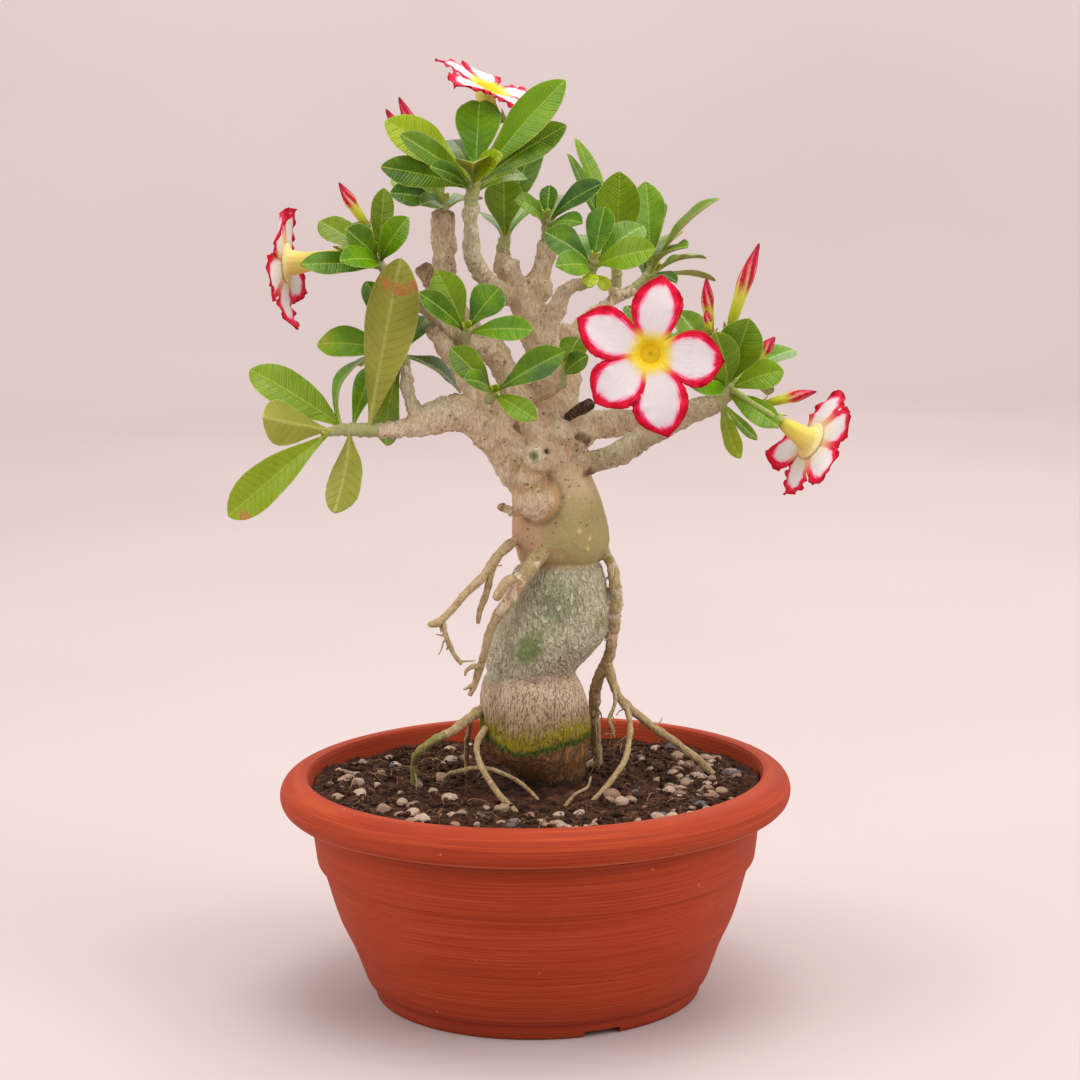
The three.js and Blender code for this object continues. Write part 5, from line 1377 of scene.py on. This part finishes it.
def leafFinish():
    newFinish("adeniumLeaf", 0.3, 0.3)
    across, along, side = parts(mark("place"))  # mm from midrib, mm from base, 1 on top
    shade, youth, burn = parts(mark("tone"))
    place = surfacePlace()
    broad, fine = grain(place, 60, 3), grain(place, 500, 3)
    sideways = calc("ABSOLUTE", across)
    # side veins leave the midrib at a slant and bend forwards near the margin
    bent = plus(times(sideways, -0.42), times(times(sideways, sideways), -0.022))
    run = plus(plus(along, bent), sway(broad, 5.0))

    def veins(spacing, low, high):
        return between(calc("PINGPONG", calc("DIVIDE", run, spacing), 0.5), low, high, 1, 0)
    vein, minor = veins(leafLook["veinSpacing"], 0.02, 0.08), veins(leafLook["veinSpacing"] / 3, 0.05, 0.3)
    top = layers(
        blend(shade, leafLook["topDark"], leafLook["top"]),
        (between(broad, 0.35, 0.7, 0, 0.45), leafLook["topLight"]),
        (youth, leafLook["topYoung"]),
        (times(vein, 0.1), leafLook["vein"]),
        (times(minor, 0.04), (120, 160, 60)),
        (times(between(sideways, 0.15, 0.5, 1, 0), 0.6), (172, 190, 84)))  # midrib
    under = layers(
        blend(between(broad, 0.3, 0.7), leafLook["underShade"], leafLook["under"]),
        (youth, (176, 174, 70)),
        (times(vein, 0.05), (112, 126, 36)),
        (times(minor, 0.03), (116, 130, 40)),
        (between(sideways, 0.45, 1.0, 0.55, 0), (184, 186, 96)))  # midrib
    scorch = between(plus(burn, sway(broad, 2.2)), 0.52, 0.68)
    specks = times(between(burn, 0.55, 0.8), between(fine, 0.45, 0.65))
    colour = layers(
        blend(side, under, top),
        (between(mark("edge", "Fac"), 0.95, 0.99, 0, 0.6), leafLook["margin"]),
        (times(scorch, 0.85), leafLook["burn"]),
        (times(specks, 0.25), (120, 70, 36)),
        (between(cells(place, 190), 0.045, 0.07, 0.4, 0), (198, 206, 150)))  # dust
    sunk = times(plus(times(vein, -0.7), times(minor, -0.22)), minus(times(side, 1.6), 0.6))
    gloss = plus(times(side, -0.24), between(fine, 0.3, 0.7, 0.48, 0.58))
    return dress(colour, plus(sunk, times(fine, 0.16)), 0.0005, 0.75, gloss)


def stemFinish():
    newFinish("greenStem", 0.6, 0.35)
    shade, youth, woody = parts(mark("tone"))
    place = surfacePlace()
    fine, broad = grain(place, 520, 4), grain(place, 140, 3)
    rings = calc("PINGPONG", calc("DIVIDE", parts(mark("place"))[1], 2.6), 0.5)
    colour = layers(
        blend(shade, (138, 150, 88), (170, 176, 116)),
        (youth, (162, 182, 84)),
        (woody, (172, 156, 122)),
        (between(broad, 0.48, 0.7, 0, 0.5), (184, 174, 136)),
        (between(fine, 0.55, 0.72, 0, 0.5), (112, 104, 66)),
        (between(rings, 0.0, 0.1, 0.25, 0), (116, 108, 72)))
    return dress(colour, plus(fine, rings), 0.0004, 0.7, between(fine, 0.3, 0.7, 0.52, 0.7))


def calyxFinish():
    newFinish("calyx", 0.55)
    height = parts(mark("place"))[0]
    fine = grain(surfacePlace(), 700, 3)
    colour = layers(
        blend(between(height, 0, 1), (128, 158, 60), (170, 172, 76)),
        (between(height, 0.75, 1.0, 0, 0.6), (176, 104, 70)),
        (between(fine, 0.5, 0.7, 0, 0.4), (96, 122, 50)))
    return dress(colour, fine, 0.0003, 0.6)


def faceOf(forward, tip, turn):  # the way a leaf's upper face looks
    if isinstance(turn, list):
        wanted = np.array(turn, float)
    else:
        tilt = min(leafLook["frontTilt"] - leafLook["tiltPerDepth"] * tip[1], leafLook["mostTilt"])
        a = math.radians(tilt + turn)
        wanted = np.array([0, -math.sin(a), math.cos(a)])
    return unit(wanted - forward * wanted.dot(forward))


def leafOutline(t, width, oval):  # half the width at each share of the length
    kind = "narrowWidths" if width < leafLook["narrow"] else "spoonWidths"
    plain, full = [np.interp(t, leafLook["shares"], leafLook[key]) for key in (kind, "ovalWidths")]
    petiole = leafLook["petiole"] * (1 - t) ** 0.5 * 0.55
    return np.maximum(width / 2 * (plain * (1 - oval) + full * oval), petiole)


def addLeaf(heap, base, tip, width, sag, face, mood, spin):
    length, across = np.linalg.norm(tip - base), np.cross(unit(tip - base), face)
    rows, columns = leafLook["rows"], leafLook["columns"]
    fold = math.tan(math.radians(leafLook["foldDegrees"] * (0.8 + 0.5 * spin.random())))
    waves = [(2 + 3 * spin.random(), spin.random() * 6.3, (0.25 + 0.7 * spin.random()) * width / 20)
             for _ in range(2)]  # speed, start and size for each half
    lean = (spin.random() - 0.5) * 0.24  # the tip bends a little to one side
    recurve = (spin.random() * 0.05) * length
    t = np.array([(1 - math.cos(math.pi * (0.06 + 0.94 * k / (rows - 1)))) / 2 for k in range(rows)])
    t = ((t - t[0]) / (t[-1] - t[0]))[:, None]
    u = np.linspace(-1, 1, columns + 1)
    u = np.sign(u) * np.abs(u) ** 0.85
    out = np.abs(u)
    half = leafOutline(t, width, mood.get("oval", 0))
    s = u * half
    # a heart shaped dent at the tip
    dent = mood.get("notch", 0) * 0.05 * np.maximum(t - 0.8, 0) / 0.2
    dent = dent * np.maximum(0, 1 - np.abs(s) / (width * 0.16))
    speed, start, size = [np.where(u < 0, left, right) for left, right in zip(*waves)]
    rise = fold * (np.sqrt(s * s + 0.5) - 0.707) - 0.02 * out ** 4 * half
    rise += size * out ** 2.4 * np.sin(2 * math.pi * speed * t * 0.6 + start) * np.sin(math.pi * t)
    rise += 4 * sag * t * (1 - t) - recurve * t ** 3 * (1 - t) * 4
    side = s + lean * width * t * t * (1 - t) * 1.5
    grid = base + (tip - base) * (t - dent)[..., None] + across * side[..., None] + face * rise[..., None]
    normals = sheetNormals(grid)
    normals *= np.sign((normals * face).sum(2, keepdims=True) + 1e-9)
    thick = leafLook["thickness"] * (0.35 + 0.65 * (1 - out ** 3))
    ridge = leafLook["midrib"] * (1 - t * 0.8) * np.exp(-(s / 0.95) ** 2)  # the midrib stands out below
    groove = 0.22 * np.exp(-(s / 0.6) ** 2) * (1 - t)
    top = grid + normals * (thick / 2 - groove)[..., None]
    low = grid - normals * (thick / 2 + ridge)[..., None]
    burnt = mood.get("burn", 0) * (np.exp(-((t - 0.84) / 0.13) ** 2) + 0.45 * np.exp(-((t - 0.2) / 0.1) ** 2))
    addPart(heap, [*top.reshape(-1, 3), *low.reshape(-1, 3)], sheetFaces(rows, columns + 1),
            place=sheetMarks(s.shape, s, t * length, 1) + sheetMarks(s.shape, s, t * length, 0),
            tone=sheetMarks(s.shape, mood["shade"], mood["youth"], burnt) * 2,
            edge=list(np.broadcast_to(out, s.shape).ravel()) * 2)


def addCalyx(heap, foot, axis, size, spin):  # a small cup whose rim rises to five points
    side = unit(np.array([1.0, 0, 0]) - axis * axis[0])
    across = np.cross(axis, side)
    angles = circle(40)
    points = []
    for wide, wideGain, high, highGain, _ in calyxRings:
        for a in angles:
            gain = abs(math.cos(2.5 * a)) ** 3  # 1 at each of the five tips
            points.append(foot + axis * size * (high + highGain * gain)
                          + size * (wide + wideGain * gain) * (side * math.cos(a) + across * math.sin(a)))
    points += [foot - axis * size * 1.2, foot]
    place = [(ring[4], 0, 0) for ring in calyxRings for _ in angles] + [(0, 0, 0), (0, 0, 0)]
    faces = closedFaces(len(calyxRings), len(angles))
    addPart(heap, points, faces, 2, place=place, tone=(spin.random(), 0, 0), edge=0.0)


def tubeBend(bloom):  # the middle line of a bloom's tube
    start = np.array(bloom["base"], float)
    forward = unit(np.array(bloom["facing"], float))
    neck = np.array(bloom["throat"], float) - forward * 2.45
    return start, neck - forward * 0.45 * np.linalg.norm(neck - start), neck, forward


def feetOf(shootName):  # where blooms and buds leave a shoot: stalk, foot, axis, size
    found = []
    for bloom in blooms.values():
        if bloom["on"] == shootName:
            start, pull, _, _ = tubeBend(bloom)
            found.append((bloom["stalk"], start, unit(pull - start), 1))
    for bud in buds.values():
        if bud["on"] == shootName:
            foot, tip = np.array(bud["foot"], float), np.array(bud["tip"], float)
            found.append((bud["stalk"], foot, unit(tip - foot), shootLook["calyxPerRadius"] * bud["radius"]))
    return found


def addStem(heap, route, sides, tone, shape=None):
    points, faces, way = tubeSkin(route, sides, shape)
    addPart(heap, points, faces, 1, place=way, tone=tone, edge=0.0)


def makeShoot(name, shoot, finishes):
    spin = random.Random(sum(ord(letter) * (k + 3) for k, letter in enumerate(name)))
    heap = newHeap()
    limbBefore, limbEnd = [np.array(station, float) for station in limbRoutes[shoot["on"]][-2:]]
    ahead = unit(limbEnd[:3] - limbBefore[:3])
    thick = shoot["stem"][0][3]
    stations = [[*(limbEnd[:3] - ahead * 3), min(limbEnd[3] * 0.8, thick)],
                [*(limbEnd[:3] + ahead * 0.8), thick], *shoot["stem"]]
    shift = spin.random() * 30

    def nodes(angles, row):  # leaf scars swell the stem every few millimetres
        return 1 + 0.05 * np.sin(angles + row * 0.9) + 0.06 * math.sin(row * 1.35 + shift) \
            + 0.03 * np.sin(3 * angles - row * 0.5)
    addStem(heap, smoothRoute(stations, 0.8), 18, (spin.random(), 0.25, 0.35), nodes)
    end = np.array(stations[-1][:3], float)
    axis = unit(end - np.array(stations[-2][:3], float))
    radius = stations[-1][3]
    for number, (x, y, z, width, sag, turn, drop) in enumerate(shoot["leaves"]):
        tip = np.array([x, y, z], float)
        if isinstance(drop, list):
            base = np.array(drop, float)
        else:
            base = end - axis * (drop + 1)
            outward = (tip - base) - axis * (tip - base).dot(axis)
            base = base + unit(outward) * radius * shootLook["leafStart"]
        mood = {"shade": 0.05 + 0.95 * spin.random() ** 1.3, "youth": max(0, spin.random() * 0.5 - 0.22)}
        mood.update(leafMoods.get((name, number), {}))
        addLeaf(heap, base, tip, width, sag, faceOf(unit(tip - base), tip, turn), mood, spin)
    side = unit(np.cross(axis, np.array([0.2, 0.9, 0.3])))
    for k in range(shootLook["youngLeaves"]):  # folded at the growing tip
        around = 2 * math.pi * (k / shootLook["youngLeaves"] + 0.1 * spin.random())
        out = side * math.cos(around) + np.cross(axis, side) * math.sin(around)
        base = end - axis * 0.8 + out * 0.4
        tip = base + axis * (4.5 + 2.5 * spin.random()) + out * (1.5 + 1.5 * spin.random())
        addLeaf(heap, base, tip, 3.2, 0.3, unit(axis * 0.3 - out), {"shade": 0.8, "youth": 0.85}, spin)
    for stalk, foot, way, size in feetOf(name):
        stop = foot - way * 0.3
        line = [np.array(p, float) for p in stalk] + [stop - way * 3 * size, stop]
        thick = shootLook["stalkRadius"] * math.sqrt(size)
        route = smoothRoute([[*p, thick * (0.92 + 0.1 * (k % 2))] for k, p in enumerate(line)], 1)
        addStem(heap, route, 12, (0.6, 0.8, 0))
        addCalyx(heap, stop, way, size, spin)
    piece = makePiece("shoot." + name, heap, *finishes)
    piece.data.set_sharp_from_angle(angle=math.radians(shootLook["sharpAngle"]))
    return standIn(piece, "leaf", "shoot_" + name)


shootFinishes = [leafFinish(), stemFinish(), calyxFinish()]
faceCount = sum(makeShoot(name, shoot, shootFinishes) for name, shoot in shoots.items())
print("leafy shoots made, faces", faceCount)


# ---- blooms and buds ----

bloomLook = {
    "thickness": 0.65,
    "collar": 7.6,
    "skew": 0.02,
    "cusp": 0.9,
    "lift": 5,
    "curl": 6.5,
    "tilt": 0.9,
    "ruffle": 0.95,
    "rows": 34,
    "columns": 18,
    "tubeRows": 30,
    "tubeSides": 40,
    "funnel": [[3.4, -6.2], [4.2, -4.8], [4.9, -3.4], [5.6, -1.9], [6.4, -0.6]],  # radius, height
    "tubeAlong": [0, 0.1, 0.25, 0.42, 0.6, 0.8, 1],
    "tubeRadius": [1.45, 2.2, 3.2, 3.9, 4.5, 5.1, 6.1],
    "mouth": [(0.6, 6.6, 1.06), (1.2, 7.4, 1.12), (1.7, 8.4, 1.2), (2.0, 9.4, 1.3)],  # step, radius, mark
    # half widths of a lobe along its length, each side its own
    "shares": [0, 0.06, 0.14, 0.25, 0.38, 0.52, 0.64, 0.74, 0.83, 0.9, 0.955, 1],
    "rounder": [0.5, 0.62, 0.8, 0.98, 1.13, 1.2, 1.15, 1.0, 0.76, 0.49, 0.24, 0],
    "straighter": [0.48, 0.57, 0.72, 0.9, 1.01, 1.03, 0.95, 0.8, 0.58, 0.36, 0.17, 0],
    "white": (232, 224, 224),
    "pink": (238, 104, 142),
    "crimson": (220, 0, 48),
    "crimsonDeep": (186, 0, 32),
    "throat": (240, 216, 66),
}

budLook = {
    "rows": 44,
    "sides": 40,
    "twist": 1.9,
    "shares": [0, 0.06, 0.14, 0.28, 0.4, 0.5, 0.58, 0.66, 0.74, 0.82, 0.9, 0.96, 1],
    "widths": [0.36, 0.52, 0.68, 0.78, 0.84, 0.92, 0.98, 0.93, 0.8, 0.62, 0.42, 0.25, 0.1],
}


def lobeFinish():
    newFinish("bloomLobe", 0.55, 0.1)
    toMargin, fromThroat, side = parts(mark("place"))  # mm to the margin, mm from throat's middle
    u, t, _ = parts(mark("tone"))
    place = surfacePlace()
    broad, fine = grain(place, 150, 3), grain(place, 700, 4)
    streaks = grain(joined(times(u, 9), times(t, 1.6)), 2.6, 3.0, 0.6)
    wander = plus(sway(streaks, 3.4), sway(broad, 2.0))
    width = between(t, 0.05, 0.75, 1.5, 3.8)  # the crimson margin is broader towards the tip
    spread = between(minus(plus(toMargin, wander), width), -3, 5, way="LINEAR")
    petal = ramp(spread, (0.0, bloomLook["crimsonDeep"]), (0.2, bloomLook["crimson"]), (0.38, (224, 6, 58)),
                 (0.47, bloomLook["pink"]), (0.58, (240, 200, 210)), (0.76, bloomLook["white"]))
    back = blend(between(fromThroat, 6, 17, 0.75, 0), petal, (232, 222, 158))
    lines = times(between(streaks, 0.5, 0.62, 0, 0.14), between(fromThroat, 8, 30, 1, 0.25))
    glow = between(plus(fromThroat, times(wander, 0.8)), 6.4, 12.5, 1, 0)
    guides = times(between(calc("PINGPONG", times(u, 1.5), 0.5), 0.0, 0.16, 1, 0),
                   between(fromThroat, 4.0, 7.5, 0.35, 0))
    colour = layers(
        blend(side, back, petal),
        (lines, (236, 190, 204)),
        (times(glow, side), bloomLook["throat"]),
        (times(between(fromThroat, 4.2, 7.4, 1, 0), side), (234, 198, 10)),
        (guides, (206, 92, 24)))
    # painted light: the lobes glow a little near the throat
    return dress(colour, plus(times(streaks, 1.5), times(fine, 0.3)), 0.0005, 0.6,
                 between(fine, 0.3, 0.7, 0.44, 0.6), between(fromThroat, 4, 8, 0.08, 0))


def tubeFinish():
    newFinish("bloomTube", 0.5, 0.2)
    around, along, below = parts(mark("place"))  # angle, 0 to 1 along and 2 inside, 1 underneath
    place = surfacePlace()
    fine, broad = grain(place, 700, 3), grain(place, 120, 3)
    ribs = between(calc("SINE", times(around, 15.0)), 0.6, 1.0, 0, 0.22)
    inside = between(along, 1.4, 1.6)
    colour = layers(
        ramp(calc("DIVIDE", along, 1.3), (0.0, (158, 176, 56)), (0.16, (206, 200, 76)),
             (0.45, (230, 208, 92)), (0.72, (236, 218, 122)), (0.84, (238, 224, 150)), (1.0, (234, 222, 170))),
        (times(below, between(broad, 0.35, 0.65, 0.1, 0.55)), (226, 166, 92)),
        (ribs, (216, 190, 96)),
        (between(fine, 0.5, 0.75, 0, 0.25), (230, 210, 130)),
        (inside, (226, 192, 30)))
    # painted glow: the inside emits light, standing in for light that comes through the wall
    return dress(colour, plus(fine, ribs), 0.0004, 0.6, between(fine, 0.3, 0.7, 0.45, 0.6),
                 times(inside, 0.16))  # light comes through the wall


def budFinish():
    newFinish("bloomBud", 0.5, 0.18)
    turn, along, groove = parts(mark("place"))  # 0 to 1 across a furled lobe, along, seam
    place = surfacePlace()
    fine, broad = grain(place, 700, 3), grain(place, 260, 3)
    crimson = times(between(plus(turn, sway(broad, 0.5)), 0.34, 0.78, 1, 0), between(along, 0.38, 0.58))
    colour = layers(
        ramp(along, (0.0, (138, 160, 30)), (0.22, (184, 190, 40)), (0.45, (216, 206, 76)),
             (0.58, (232, 172, 130)), (0.8, (222, 84, 108)), (1.0, (150, 8, 40))),
        (crimson, (190, 4, 46)),
        (between(along, 0.88, 1.0, 0, 0.8), (120, 20, 38)),
        (times(groove, between(along, 0.35, 0.5, 0, 0.6)), (128, 10, 36)),
        (between(fine, 0.55, 0.75, 0, 0.2), (244, 214, 190)))
    return dress(colour, plus(fine, times(broad, 0.6)), 0.0004, 0.6, between(fine, 0.3, 0.7, 0.42, 0.58))


def addLobe(heap, bloom, number, spin):
    middle = np.array(bloom["throat"], float)
    forward = unit(np.array(bloom["facing"], float))
    upward = unit(np.array([0, 0, 1.0]) - forward * forward[2])
    right = np.cross(upward, forward)
    headings = [lobe[0] for lobe in bloom["lobes"]]
    degrees, reach, width, tipRise = bloom["lobes"][number]
    a = math.radians(degrees)
    outward = right * math.cos(a) + upward * math.sin(a)
    aside = np.cross(forward, outward)
    before = (degrees - headings[number - 1]) % 360 / 2
    after = (headings[(number + 1) % 5] - degrees) % 360 / 2
    ruffles = [(3.2 + 1.6 * spin.random(), spin.random() * 6.3, 0.7 + 0.5 * spin.random()) for _ in range(2)]
    crimps = [(9 + 3 * spin.random(), spin.random() * 6.3) for _ in range(2)]
    twist = (spin.random() - 0.5) * 0.8

    t = (np.linspace(0, 1, bloomLook["rows"]) ** 0.9)[:, None]
    s = np.linspace(-1, 1, bloomLook["columns"] + 1)
    s = np.sign(s) * np.abs(s) ** 0.8
    out = np.abs(s)
    speed, start, size = [np.where(s < 0, one, two) for one, two in zip(*ruffles)]
    crimpSpeed, crimpStart = [np.where(s < 0, one, two) for one, two in zip(*crimps)]
    crimp = 2 * math.pi * crimpSpeed * t + crimpStart
    span = np.radians(np.where(s < 0, before, after))
    collar, angle = bloomLook["collar"], span * s
    rounder = np.interp(t, bloomLook["shares"], bloomLook["rounder"])
    straighter = np.interp(t, bloomLook["shares"], bloomLook["straighter"])
    half = width / 2 * np.where(s < 0, rounder, straighter)
    base = 1 - ease(t, 0.0, 0.3)  # 1 on the collar, 0 on the free lobe
    edge = half + 0.16 * out ** 8 * np.sin(crimp) * ease(t, 0.2, 0.4)
    distance = collar + (reach - collar) * t - (collar - collar * np.cos(angle)) * base
    sideways = s * edge * (1 - base) + collar * np.sin(angle) * base
    sideways += s * base * np.maximum(0, half - collar * np.sin(np.abs(span)))
    sideways -= bloomLook["skew"] * reach * t * t + bloomLook["cusp"] * ease(t, 0.86, 1.0) ** 2
    ruffle = np.sin(2 * math.pi * speed * t + start) * ease(t, 0.12, 0.5)
    height = bloomLook["lift"] * t - bloomLook["curl"] * t ** 3 + tipRise * t * t
    height = height + s * (bloomLook["tilt"] + twist) * t + bloomLook["ruffle"] * size * out ** 2.6 * ruffle
    height += 0.24 * out ** 4 * ease(t, 0.2, 0.5) * np.sin(crimp + 1)
    height -= 0.7 * (1 - out) ** 2 * np.sin(math.pi * t) - 0.12 * np.cos(s * 9) * (1 - t)
    blade = middle + outward * distance[..., None] + aside * sideways[..., None] + forward * height[..., None]
    toMargin = np.minimum((1 - out) * half, (1 - t) * (reach - collar) * 0.9 + 0.2)

    radius, depth = [np.array(column)[:, None] for column in zip(*bloomLook["funnel"])]
    turned = np.cos(angle)[:, None] * outward + np.sin(angle)[:, None] * aside
    cup = middle + turned * radius[..., None] + forward * depth[..., None]
    cupMarks = np.where(depth > -2, radius, radius - 1) + 0 * s

    grid = np.concatenate([cup, blade])
    rows, wide = grid.shape[:2]
    normals = sheetNormals(grid)
    if (normals[len(radius) + 6:] * forward).sum() < 0:
        normals = -normals
    thick = (bloomLook["thickness"] * (0.45 + 0.55 * (1 - out ** 4)) / 2)[:, None]
    marginMarks = np.concatenate([9.0 + 0 * cupMarks, toMargin])
    throatMarks = np.concatenate([cupMarks, distance])
    lengthMarks = np.concatenate([0 * radius, t])
    marks = ((rows, wide), marginMarks, throatMarks)
    addPart(heap, [*(grid + normals * thick).reshape(-1, 3), *(grid - normals * thick).reshape(-1, 3)],
            sheetFaces(rows, wide, turned=True),
            place=sheetMarks(*marks, 1) + sheetMarks(*marks, 0),
            tone=sheetMarks((rows, wide), s, lengthMarks, 0) * 2)


def makeLobes(name, bloom, finish):
    spin = random.Random(int(abs(bloom["throat"][0]) * 10))
    heap = newHeap()
    for number in range(len(bloom["lobes"])):
        addLobe(heap, bloom, number, spin)
    return standIn(makePiece("bloom.%s.lobes" % name, heap, finish), "bloom_lobes", "bloom_%s_lobes" % name)


def makeTube(name, bloom, finish):  # a fluted trumpet with the start of its inner wall
    start, pull, neck, forward = tubeBend(bloom)
    along = np.linspace(0, 1, bloomLook["tubeRows"])
    radii = np.interp(along, bloomLook["tubeAlong"], bloomLook["tubeRadius"])
    route = [[*(start * (1 - t) ** 2 + 2 * pull * t * (1 - t) + neck * t * t), radius]
             for t, radius in zip(along, radii)]
    route += [[*(neck + forward * step), radius] for step, radius, _ in bloomLook["mouth"]]
    rings = ringsAlong(np.array(route))
    inner = [(c + forward * 0.25, s, x, r - 1.3, g) for c, s, x, r, g in rings[:26:-1]]
    shares = list(along) + [share for _, _, share in bloomLook["mouth"]] + [2] * len(inner)
    sides = bloomLook["tubeSides"]
    points, place = [], []
    for (centre, side, across, radius, _), share in zip(rings + inner, shares):
        for a in circle(sides):
            flute = 1 + 0.035 * math.cos(5 * a + 1.5 * share) * math.sin(math.pi * min(share + 0.15, 1))
            out = side * math.cos(a) + across * math.sin(a)
            points.append(centre + out * radius * flute)
            place.append((a, share, float(ease(-out[2], 0.1, 0.9))))
    points += [rings[0][0], inner[-1][0]]
    place += [(0, 0, 0), (0, 2, 0)]
    heap = newHeap(points, closedFaces(len(shares), sides), place=place)
    for k in range(5):  # pale hairy anther tips deep in the throat
        a = 2 * math.pi * k / 5 + 0.3
        out = rings[-1][1] * math.cos(a) + rings[-1][2] * math.sin(a)
        stations = [[*(neck - forward * depth + out * reach), radius]
                    for depth, reach, radius in ((8, 1.2, 0.6), (4, 1.0, 0.5), (0.8, 0.4, 0.25))]
        addPart(heap, *tubeSkin(smoothRoute(stations, 1), 8)[:2], place=(0, 0.2, 0))
    return standIn(makePiece("bloom.%s.tube" % name, heap, finish), "bloom_tube", "bloom_%s_tube" % name)


def makeBud(name, bud, finish):
    foot, tip = np.array(bud["foot"], float), np.array(bud["tip"], float)
    length = np.linalg.norm(tip - foot)
    shares = np.linspace(0, 1, budLook["rows"])
    bend = np.cross(unit(tip - foot), np.array([0.1, 1, 0.2]))
    radii = bud["radius"] * np.interp(shares, budLook["shares"], budLook["widths"])
    route = np.array([[*(foot + (tip - foot) * t + bend * math.sin(math.pi * t) * length * 0.012), radius]
                      for t, radius in zip(shares, radii)])
    points, place = [], []
    for (centre, side, across, radius, _), share in zip(ringsAlong(route), shares):
        furl = ease(share, 0.36, 0.56)
        for a in circle(budLook["sides"]):
            turn = (5 * (a + budLook["twist"] * share) / (2 * math.pi)) % 1  # 0 to 1 across each furled lobe
            lobe = 0.13 * furl * (0.75 - turn) + 0.03 * (1 - furl) * math.cos(5 * a)
            reach = radius * (1 + lobe - 0.1 * furl * math.exp(-((turn - 1) / 0.09) ** 2))
            points.append(centre + reach * (side * math.cos(a) + across * math.sin(a)))
            place.append((turn, share, math.exp(-(min(turn, 1 - turn) / 0.1) ** 2)))
    heap = newHeap(points + [foot, tip], closedFaces(budLook["rows"], budLook["sides"]),
                   place=place + [(0, 0, 0), (0, 1, 0)])
    return standIn(makePiece("bud." + name, heap, finish), "bud", "bud_" + name)


lobeMaterial, tubeMaterial, budMaterial = lobeFinish(), tubeFinish(), budFinish()
faceCount = 0
for name, bloom in blooms.items():
    faceCount += makeLobes(name, bloom, lobeMaterial) + makeTube(name, bloom, tubeMaterial)
for name, bud in buds.items():
    faceCount += makeBud(name, bud, budMaterial)
print("blooms and buds made, faces", faceCount)


# ---- floor, light and camera; metres ----

stageLook = {
    "front": (-2.2, -1.6),
    "depth": 2.6,
    "bend": 0.9,
    "height": 2.6,
    "width": 7.0,
    "columns": 15,
    "world": (245, 238, 236),
    "worldStrength": 0.68,
    # place, target, size, power, colour
    "lights": {
        "keyLight": ((2.0, -1.0, 1.7), (0, 0, 0.2), 2.4, 38, (1, 0.99, 0.975)),
        "fillLight": ((-2.2, -0.8, 1.5), (0, 0, 0.22), 2.3, 30, (1, 0.99, 0.98)),
        "topLight": ((0.1, -0.1, 2.4), (0, 0, 0.2), 1.5, 25, (1, 0.99, 0.98)),
        "backLight": ((0.5, 1.7, 1.9), (0, 0, 0.3), 1.8, 14, (1, 0.975, 0.965)),
    },
    "lens": 91.6,
    "cameraPlace": (0.00395, -1.3133, 0.4337),
    "cameraDown": 9.05,
    "cameraRoll": -0.768,
}


def backdropFinish():
    newFinish("paleBackdrop", 0.85, 0.2)
    place = surfacePlace()
    _, depth, height = parts(place)
    colour = blend(between(grain(place, 1.6, 2), 0.3, 0.7), (205, 191, 189), (201, 187, 185))
    near = between(depth, -0.7, 0.0, 0.86, 1)  # the floor in front is a little darker
    colour = blend(1, colour, addNode("CombineColor", {0: near, 1: near, 2: near}).outputs[0], "MULTIPLY")
    # the far sweep glows a little, so that it is as bright as the floor
    glow = plus(between(depth, 0.5, 3.2, 0, 0.27), between(height, 0.1, 1.0, 0, 0.2))
    return dress(colour, grain(place, 400, 2), 0.0002, 0.2, glow=glow)


def makeBackdrop():  # a sheet that lies on the floor and sweeps up behind
    depth, bend, columns = stageLook["depth"], stageLook["bend"], stageLook["columns"]
    start, nearest = stageLook["front"]
    line = [(start, 0.0)] + [(y, 0.0) for y in np.linspace(nearest, depth, 12)]
    for k in range(1, 17):
        a = math.pi / 2 * k / 16
        line.append((depth + bend * math.sin(a), bend * (1 - math.cos(a))))
    line.append((depth + bend, stageLook["height"]))
    half = stageLook["width"] / 2
    points = [(x / mm, y / mm, z / mm) for y, z in line for x in np.linspace(-half, half, columns)]
    heap = newHeap(points, gridFaces(len(line), columns, closed=False))
    makePiece("backdrop", heap, backdropFinish())


def makeLights():
    world = bpy.data.worlds.new("softRoom")
    world.use_nodes = True
    background = world.node_tree.nodes["Background"]
    background.inputs["Color"].default_value = tint(*stageLook["world"])
    background.inputs["Strength"].default_value = stageLook["worldStrength"]
    bpy.context.scene.world = world
    for name, (place, target, size, power, colour) in stageLook["lights"].items():
        light = bpy.data.lights.new(name, "AREA")
        light.shape = "DISK"
        light.size = size
        light.energy = power
        light.color = colour
        lamp = placed(name, light)
        lamp.location = place
        lamp.rotation_euler = (Vector(target) - Vector(place)).to_track_quat("-Z", "Y").to_euler()


def makeCamera():
    camera = bpy.data.cameras.new("camera")
    camera.sensor_width = 36
    camera.lens = stageLook["lens"]
    camera.clip_end = 50
    holder = placed("camera", camera)
    down, roll = math.radians(90 - stageLook["cameraDown"]), math.radians(stageLook["cameraRoll"])
    turn = Matrix.Rotation(down, 4, "X") @ Matrix.Rotation(roll, 4, "Z")
    holder.matrix_world = Matrix.Translation(stageLook["cameraPlace"]) @ turn
    bpy.context.scene.camera = holder


makeBackdrop()
makeLights()
makeCamera()
bpy.context.scene.view_settings.view_transform = "Standard"
print("stage set")
